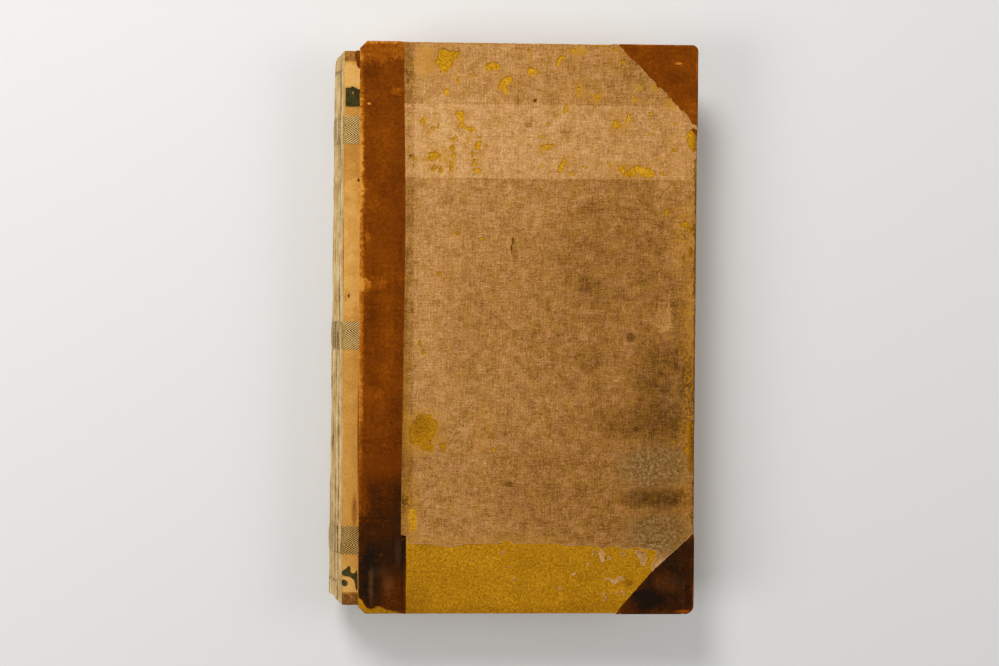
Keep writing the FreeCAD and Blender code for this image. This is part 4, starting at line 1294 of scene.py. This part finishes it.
def paper_finish():
    made, tree, shader, place = start_material("old_leaves")
    x, y, z = split(place)
    edges = speckle(place, 1.0, 2.0, 0.7, stretch=(0.02, 0.02, 4.0))
    clouds, grain, specks = fibres(place, 18.0, 1.5)
    tone = varied(edges * 0.9 + (clouds * 0.22 - 0.14), (grain, 0.3)) + specks * 0.12
    # On the spine each fold is lighter than the gap beside it: the gap is painted shade with some grime in
    # it, and more grime is smeared over both.
    on_spine = x.fade(-98.0, -98.8)
    fold = maths(tree, "FRACT", (z - LEAVES["low"]) / SECTION_THICK)
    gap = maths(tree, "POWER", maths(tree, "ABSOLUTE", fold - 0.5) * 2.0, 2.5)
    smears = speckle(place, 0.16, 4.0, 0.65, stretch=(1, 0.5, 1), offset=(5, 0, 0))
    dirt_and_gap_shade = (smears - 0.47) * 1.5 + (gap * 0.6 - 0.14)
    shade = ramp((dirt_and_gap_shade * on_spine + tone).clamped(), (0.0, 220, 194, 148), (0.35, 196, 166, 114),
                 (0.65, 164, 132, 80), (1.0, 84, 60, 32))
    # Beside the joint the outermost leaf is brown with paste, and darker toward the tail.
    outermost = maths(tree, "GREATER_THAN", maths(tree, "ABSOLUTE", z - MIDDLE), 15.8)
    skin = outermost * maths(tree, "LESS_THAN", x, -88.0) * (1.0 - on_spine)
    paste = ramp(clouds + (grain + y.fade(150.0, -150.0, 0.2) - 0.5), (0.25, 196, 136, 66),
                 (0.5, 160, 106, 44), (0.8, 104, 64, 22))
    end_material(shader, mix(skin, shade, paste), edges, 0.4, 0.00015, 0.9)
    return made


leaves_mesh = grow("folded_leaves", pile_tree(), section_mesh(), paper_finish())
from_mesh("folded_leaves", leaves_mesh, None, "text_block", "leaves", slot="leaves")

# %% [markdown]
# ## Tapes, joint paper and thread
#
# The sections are sewn to three woven tapes, which go round the spine and end under the boards. Each
# tape is drawn as a route round the book, with its distance along and across kept on every point, so
# that Geometry Nodes can raise the herringbone ribs of its weave: three bands that slant to and fro.
# A tape crosses both hinges, so it is made in three pieces. The middle one stays with the leaves, and
# each end is a piece of its own that lies over the joint. The paper over each joint is made the same way.

# %% Routes round the spine
ROUND = {"head": 5.6, "tail": 8.0}
FOLD = 0.5


def round_at(y):
    """How far the spine bulges at a height y up the book."""
    return ROUND["head"] + (0.5 - y / (2 * LEAVES["half"])) * (ROUND["tail"] - ROUND["head"])


def spine_face(y, z, sag):
    """The x of the folds at a height y up the book and z through it. sag dips between sections."""
    up = np.clip((z - MIDDLE) / HALF_THICK, -1, 1)
    dip = 0.5 + 0.5 * np.cos(2 * math.pi * (z - LEAVES["low"]) / SECTION_THICK)
    return LEAVES["shoulder"] - round_at(y) * (1 - up * up) - FOLD + sag * dip


def strap_mesh(name, route, low, high, thick, step, across_step=None, turned=False):
    """A strap whose inner face follows route(y), a list of (x, z), from y low to high."""
    across = np.linspace(low, high, max(2, round((high - low) / (across_step or step)) + 1))
    grid, along = [], None
    for y in across:
        line = np.array(route(y))
        run = np.concatenate([[0], np.cumsum(np.linalg.norm(np.diff(line, axis=0), axis=1))])
        if along is None:
            along = np.linspace(0, run[-1], round(run[-1] / step) + 1)
        where = along / along[-1] * run[-1]
        x, z = np.interp(where, run, line[:, 0]), np.interp(where, run, line[:, 1])
        dx, dz = np.gradient(x), np.gradient(z)
        size = np.hypot(dx, dz)
        grid.append((x, z, x - thick * dz / size, z + thick * dx / size))
    rows, columns = len(across), len(along)
    points = []
    for k in (2, 0):
        points += [(row[k][i], y, row[k + 1][i]) for y, row in zip(across, grid) for i in range(columns)]
    def at(layer, r, c):
        return layer * rows * columns + r * columns + c
    faces = []
    for r in range(rows - 1):
        for c in range(columns - 1):
            faces.append((at(0, r, c), at(0, r, c + 1), at(0, r + 1, c + 1), at(0, r + 1, c)))
            faces.append((at(1, r, c), at(1, r + 1, c), at(1, r + 1, c + 1), at(1, r, c + 1)))
    ring = ([(0, c) for c in range(columns)] + [(r, columns - 1) for r in range(1, rows)]
            + [(rows - 1, c) for c in range(columns - 2, -1, -1)]
            + [(r, 0) for r in range(rows - 2, 0, -1)])
    for (r, c), (r2, c2) in zip(ring, ring[1:] + ring[:1]):
        faces.append((at(0, r2, c2), at(0, r, c), at(1, r, c), at(1, r2, c2)))
    if turned:
        points = [(x, y, 2 * MIDDLE - z) for x, y, z in points]
    mesh = bpy.data.meshes.new(name)
    mesh.from_pydata([(x * MM, y * MM, z * MM) for x, y, z in points], [], faces)
    bm = bmesh.new()
    bm.from_mesh(mesh)
    bmesh.ops.recalc_face_normals(bm, faces=bm.faces)
    bm.to_mesh(mesh)
    bm.free()
    for label, values in (("along", np.tile(along, rows * 2)),
                          ("across", np.tile(np.repeat(across, columns), 2)),
                          ("outer_face", np.repeat([1.0, 0.0], rows * columns))):
        kept = mesh.attributes.new(label, "FLOAT", "POINT").data
        kept.foreach_set("value", values.astype(np.float32))
    smooth_faces(mesh, 55)
    return mesh


# %% Herringbone relief
def herringbone_tree():
    tree, given, end = start_tree("herringbone", {
        "Rib Pitch": 1.8, "Band Width": 5.33, "Relief": 0.00032, "Middle": 0.0})
    across, along, outer = (
        node(tree, "GeometryNodeInputNamedAttribute", {"Name": label}, data_type="FLOAT")
        for label in ("across", "along", "outer_face"))
    bands = (across - given["Middle"]) / given["Band Width"] + 0.5
    lean = maths(tree, "PINGPONG", bands, 1.0) * (given["Band Width"] * -1.43)
    rib = maths(tree, "SINE", (along + lean) / given["Rib Pitch"] * math.tau) * 0.5 + 0.5
    seam = maths(tree, "ABSOLUTE", maths(tree, "FRACT", bands) - 0.5).fade(0.5, 0.4)
    worn = node(tree, "ShaderNodeTexNoise", {"Scale": 260.0, "Detail": 2.0})
    height = rib * (seam * 0.55 + 0.45) * (worn + 0.35) * given["Relief"] * outer
    push = node(tree, "ShaderNodeVectorMath", {
        0: node(tree, "GeometryNodeInputNormal"), "Scale": height}, operation="SCALE")
    kept = node(tree, "GeometryNodeStoreNamedAttribute", {
        "Geometry": given["Geometry"], "Name": "rib", "Value": rib}, data_type="FLOAT", domain="POINT")
    return finish_tree(given, end, moved(kept, push))


def tape_finish():
    made, tree, shader, place = start_material("woven_tape")
    clouds, grain, _ = fibres(place, 7.0, 0.7)
    x, y, _ = split(place)
    # The crests of the weave are painted lighter and the grooves between them darker: painted highlight and
    # shade on top of the relief.
    tone = varied(attribute(tree, "rib") * 1.15 + (clouds * 0.5 - 0.34), (grain, 0.5))
    tone = (tone - y.fade(-60.0, -120.0, 0.22) - x.fade(-96.5, -100.0, 0.28)).clamped()
    shade = ramp(tone, (0.0, 76, 50, 14), (0.22, 128, 94, 38), (0.5, 180, 140, 72),
                 (0.8, 212, 176, 110), (1.0, 226, 196, 138))
    end_material(shader, shade, grain, 0.4, 0.0001, 0.95)
    return made


# %% Three tapes, each in three pieces
TAPES = {"head": 114.2, "middle": -4.0, "tail": -122.4}
TAPE_HALF = 8.0
# Where a joint bends, in metres: from one x to another, at the height of its paper.
BEND = {"start": -0.0949, "end": -0.0909, "front": 0.0363, "back": 0.0040}
woven, weave = tape_finish(), herringbone_tree()


def round_spine(y):
    z = np.linspace(LEAVES["high"], LEAVES["low"], 97)
    line = list(zip(spine_face(y, z, 0.22), z))
    turn = LEAVES["shoulder"] + 0.3
    return [(-96.4, 36.45), (turn, 36.4)] + line[2:-2] + [(turn, 3.9), (-96.4, 3.85)]


def over_joint(y):
    return [(-84.6, 36.19), (-87.9, 36.19), (-88.7, 36.42), (-96.9, 36.45)]


def cross_hinge(piece, side):
    start, end = ((BEND[key], 0, BEND[side]) for key in ("start", "end"))
    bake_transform(piece)


for end, y in TAPES.items():
    low, high = y - TAPE_HALF, y + TAPE_HALF
    strap = strap_mesh("strap", round_spine, low, high, 0.45, 0.24, 0.22)
    mesh = grow(f"tape_{end}_spine", weave, strap, woven, Middle=y, Relief=0.00016)
    from_mesh(f"tape_{end}_spine", mesh, None, "text_block", f"tape_{end}", slot="tape")
    for side in FACES:
        strap = strap_mesh("strap", over_joint, low, high, 0.42, 0.2, 0.2, turned=side == "back")
        mesh = grow(f"tape_{end}_{side}_end", weave, strap, woven, Middle=y)
        cross_hinge(from_mesh(f"tape_{end}_{side}_end", mesh, None, None, slot="tape"), side)

# %% [markdown]
# ## Paper over the joints
#
# A strip of tan paper lies over each joint, creased where the cover bends, and toned by the paste and
# leather that once covered it. On the front, the dark lines along its edges and a fleck by the board are
# painted shadow in the gaps.

# %% Joint paper
def joint_finish(name, marks=()):
    made, _, shader, place = start_material(name)
    clouds, grain, specks = fibres(place, 7.0, 1.1)
    tone = varied(marked(place, clouds - 0.5, 0.42, marks), (clouds, 0.35), (grain, 0.35))
    shade = ramp((tone + specks * 0.14).clamped(), (0.0, 236, 190, 116), (0.3, 214, 158, 76),
                 (0.5, 190, 132, 56), (0.72, 160, 100, 36), (1.0, 60, 38, 18))
    end_material(shader, shade, clouds + grain, 0.4, 0.0002, 0.88)
    return made


# Most marks are stains. These are painted shadow in the gaps: the dark lines at x 340.6 and 341.8 along the
# spine edge, the dark line at x 358.5 by the board's edge, the line at y 594.5 across the tail end, and the
# dark fleck at 358.7, 179.5.
JOINT_STAINS_AND_SHADOWS = [
    (352, 75, 14, 14, 0.15, -0.24), (341.8, 250, 1.3, 220, 0.4, 0.3), (340.6, 250, 0.6, 230, 0.3, 0.5),
    (352, 583, 14, 12, 0.3, -0.16), (352, 245, 14, 64, 0.2, -0.12), (352, 158, 14, 16, 0.2, 0.07),
    (352, 540, 14, 12, 0.4, 0.12), (358.7, 179.5, 1.6, 1.4, 0.4, 0.8), (358.5, 438, 1.4, 54, 0.6, 0.5),
    (354, 512, 2.6, 15, 0.5, 0.3), (352, 594.5, 14, 0.8, 0.5, 0.4), (347, 101.5, 1, 1, 0.4, -0.4)]
joint_paper_finishes = {"front": joint_finish("front_joint_paper_finish", JOINT_STAINS_AND_SHADOWS),
                        "back": joint_finish("back_joint_paper_finish")}


def joint_route(y):
    wave = 0.05 * noise.noise(Vector((y * 0.08, 2.0, 0)))
    return [(-84.6, 36.16), (-88.3, 36.17), (-91, 36.2 + wave), (-94, 36.17 - wave), (-97.5, 36.16)]


for side in FACES:
    mesh = strap_mesh(f"{side}_joint_strip", joint_route, -153.5, 153.5, 0.24, 0.6, 2.5,
                      turned=side == "back")
    piece = from_mesh(f"{side}_joint_strip", mesh, joint_paper_finishes[side], None,
                      f"{side}_joint_paper", slot="joint_paper")
    cross_hinge(piece, side)

# %% [markdown]
# ## Scraps left on the joint
#
# Two bits of the dark green cloth that lined the spine are still stuck to the paper, and a curl of
# the lost spine leather hangs on beside the head. Each is a small torn sheet of its own.

# %% Flat scraps
def scrap_mesh(name, loops, low, thick, curl):
    """A small torn sheet lying flat. curl lifts its surface unevenly."""
    loops = [ragged(loop, 0.12, 0.35, closed=True) for loop in loops]
    edge_points = np.concatenate([np.asarray(loop) for loop in loops])
    (x0, y0), (x1, y1) = edge_points.min(0), edge_points.max(0)
    fill = np.array([(x, y) for x in np.arange(x0, x1, 0.6) for y in np.arange(y0, y1, 0.6)])
    flat, triangles = filled(loops, fill[inside(fill, loops)])
    lift = [curl * (0.5 + 0.5 * noise.noise(Vector((x * 0.5, y * 0.5, 1.0)))) for x, y in flat]
    upper = [(x * MM, y * MM, (low + thick + h) * MM) for (x, y), h in zip(flat, lift)]
    lower = [(x * MM, y * MM, (low + h * 0.6) * MM) for (x, y), h in zip(flat, lift)]
    return two_faced(name, upper, lower, triangles)


def on_joint(pixels):
    return [cover_point(px, py, 36.4) for px, py in pixels]


GREEN_HEAD = [
    [(345.6, 88), (345.8, 88.2), (348.5, 87.4), (350, 88.2), (351.8, 86.2), (354, 86.8), (357, 89),
     (360.2, 89.2), (360.4, 89.6), (360.4, 105.8), (360.2, 106.2), (346, 106.4), (345.6, 106.2)],
    [(351.8, 92), (352.8, 91), (353.9, 92), (353.6, 94), (352.2, 94)]]
GREEN_TAIL = [
    [(341.2, 573), (343, 570), (346, 569), (348, 566), (350, 566.4), (350, 570), (351, 573), (354, 574),
     (356, 571), (357.3, 569.5), (357.3, 592), (355.5, 588), (354.5, 581), (352, 578), (349, 576.5),
     (346, 576), (343, 575.5)],
    [(341.4, 581), (343.5, 579.3), (346.5, 581), (347.8, 583), (346.5, 585.8), (343, 586.2),
     (341.6, 583.5)]]
LEATHER_CURL = [
    [(355.3, 52), (357, 50.5), (360.4, 50.4), (360.6, 66), (359, 68), (357.3, 66.4), (356.3, 61),
     (355, 57)]]


def scrap_finish(name, stops, cloud, fine, weave_strength=0.0):
    made, _, shader, place = start_material(name)
    clouds, grain, _ = fibres(place, cloud, fine)
    threads, _ = use(thread_effect, place, 0.6, 3.0)
    tone = varied(grain * 0.8 + (clouds * 0.7 - 0.3), (threads, weave_strength))
    end_material(shader, ramp(tone.clamped(), *stops), grain + threads, 0.6, 0.0002, 0.85)
    return made


green = scrap_finish("green_lining_finish", [
    (0.0, 32, 30, 10), (0.4, 58, 52, 22), (0.75, 90, 78, 40), (1.0, 160, 128, 70)], 3.0, 0.7, 0.8)
russet = scrap_finish("spine_leather_finish", [
    (0.0, 40, 16, 4), (0.4, 104, 46, 6), (0.7, 150, 78, 14), (1.0, 188, 112, 40)], 3.0, 1.0)
for name, loops, low, thick, curl, finish, node_name, slot in (
        ("green_bit_head", GREEN_HEAD, 36.42, 0.2, 0.05, green, "green_scrap_head", "green_lining"),
        ("green_bit_tail", GREEN_TAIL, 36.42, 0.2, 0.05, green, "green_scrap_tail", "green_lining"),
        ("leather_curl", LEATHER_CURL, 36.3, 0.4, 0.5, russet, "spine_leather_scrap", "leather_scrap")):
    mesh = scrap_mesh(name, [on_joint(loop) for loop in loops], low, thick, curl)
    cross_hinge(from_mesh(name, mesh, finish, None, node_name, slot=slot), "front")

# %% [markdown]
# ## Sewing thread
#
# At every section the linen thread leaves the fold, crosses a tape and goes back in. Near the head and
# the tail it is looped round the section below, which makes a chain of kettle stitches. One stitch is
# a short bent tube of a few dozen faces, and Geometry Nodes put it on each section, on the round.

# %% Stitches
def stitch_mesh(length, rise, turn=0.0, sides=6, steps=8):
    bm = bmesh.new()
    rows = []
    for i in range(steps + 1):
        t = i / steps
        y, out = (t - 0.5) * length, rise * math.sin(math.pi * t) ** 0.5
        thick = 0.26 * (0.8 + 0.2 * math.sin(math.pi * t))
        rows.append([bm.verts.new(((thick * math.cos(a) - out) * MM, y * MM,
                                   (turn * (t - 0.5) + thick * math.sin(a)) * MM))
                     for a in np.linspace(0, math.tau, sides, endpoint=False)])
    for a, b in zip(rows, rows[1:]):
        for i in range(sides):
            bm.faces.new((a[i], a[(i + 1) % sides], b[(i + 1) % sides], b[i]))
    bm.faces.new(rows[0])
    bm.faces.new(rows[-1][::-1])
    bmesh.ops.recalc_face_normals(bm, faces=bm.faces)
    mesh = bpy.data.meshes.new("stitch")
    bm.to_mesh(mesh)
    bm.free()
    return mesh


def sewing_tree():
    tree, given, end = start_tree("sewing", {
        "Sections": SECTIONS, "Section Thickness": SECTION_THICK * MM, "Lowest": LEAVES["low"] * MM,
        "Round": 0.0068, "Middle": MIDDLE * MM, "Half Height": HALF_THICK * MM, "Folds": -0.0982,
        "Height Up": 0.0, "Wander": 0.0003, "Seed": 2})
    line = section_points(tree, given, given["Height Up"])
    dome = dome_at(given, split(node(tree, "GeometryNodeInputPosition"))[2])
    out = combine(tree, given["Folds"] - given["Round"] * dome)
    far = given["Wander"]
    less = far * -1.0
    aside = stray(tree, combine(tree, 0.0, less, less), combine(tree, 0.0, far, far), given["Seed"])
    placed = moved(line, vector(out, "ADD", aside))
    return finish_tree(given, end, put_on(placed, given["Geometry"]))


thread_paint, tree, shader, place = start_material("linen_thread")
_, twist, _ = fibres(place, 3.0, 0.35)
plug(tree, shader.inputs["Base Color"], ramp(twist, (0.3, 150, 124, 82), (0.7, 206, 184, 140)))
shader.inputs["Roughness"].default_value = 0.8
sewing = sewing_tree()
for end, y in {**TAPES, "kettle_head": 147.0, "kettle_tail": -147.0}.items():
    kettle = end.startswith("kettle")
    stitch = stitch_mesh(4.0, 0.25, 2.2) if kettle else stitch_mesh(17.6, 0.62)
    folds = LEAVES["shoulder"] - FOLD + (0.25 if kettle else 0.1)
    mesh = grow(f"stitches_{end}", sewing, stitch, thread_paint,
                Round=round_at(y) * MM, Height_Up=y * MM, Folds=folds * MM)
    from_mesh(f"stitches_{end}", mesh, None, "text_block", slot="tape")

# %% [markdown]
# ## Pastedowns
#
# The sheet inside each cover keeps its CAD shape, which already steps up over the turn-ins, and only
# gets the finish of old laid paper.

# %% Pastedown finish
def pastedown_finish():
    made, _, shader, place = start_material("old_endpaper")
    clouds, grain, specks = fibres(place, 30.0, 1.4)
    laid = speckle(place, 1.0, 1.0, 0.5, stretch=(0.03, 0.9, 0.9))
    tone = varied(clouds * 0.5 + (laid * 0.3 - 0.05), (grain, 0.3)) + specks * 0.15
    shade = ramp(tone.clamped(), (0.0, 224, 200, 156), (0.5, 204, 174, 124), (1.0, 140, 104, 62))
    end_material(shader, shade, grain + laid, 0.3, 0.00012, 0.9)
    return made


endpaper = pastedown_finish()
for side in FACES:
    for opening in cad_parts[f"{side}_pastedown"].material_slots:
        opening.material = endpaper
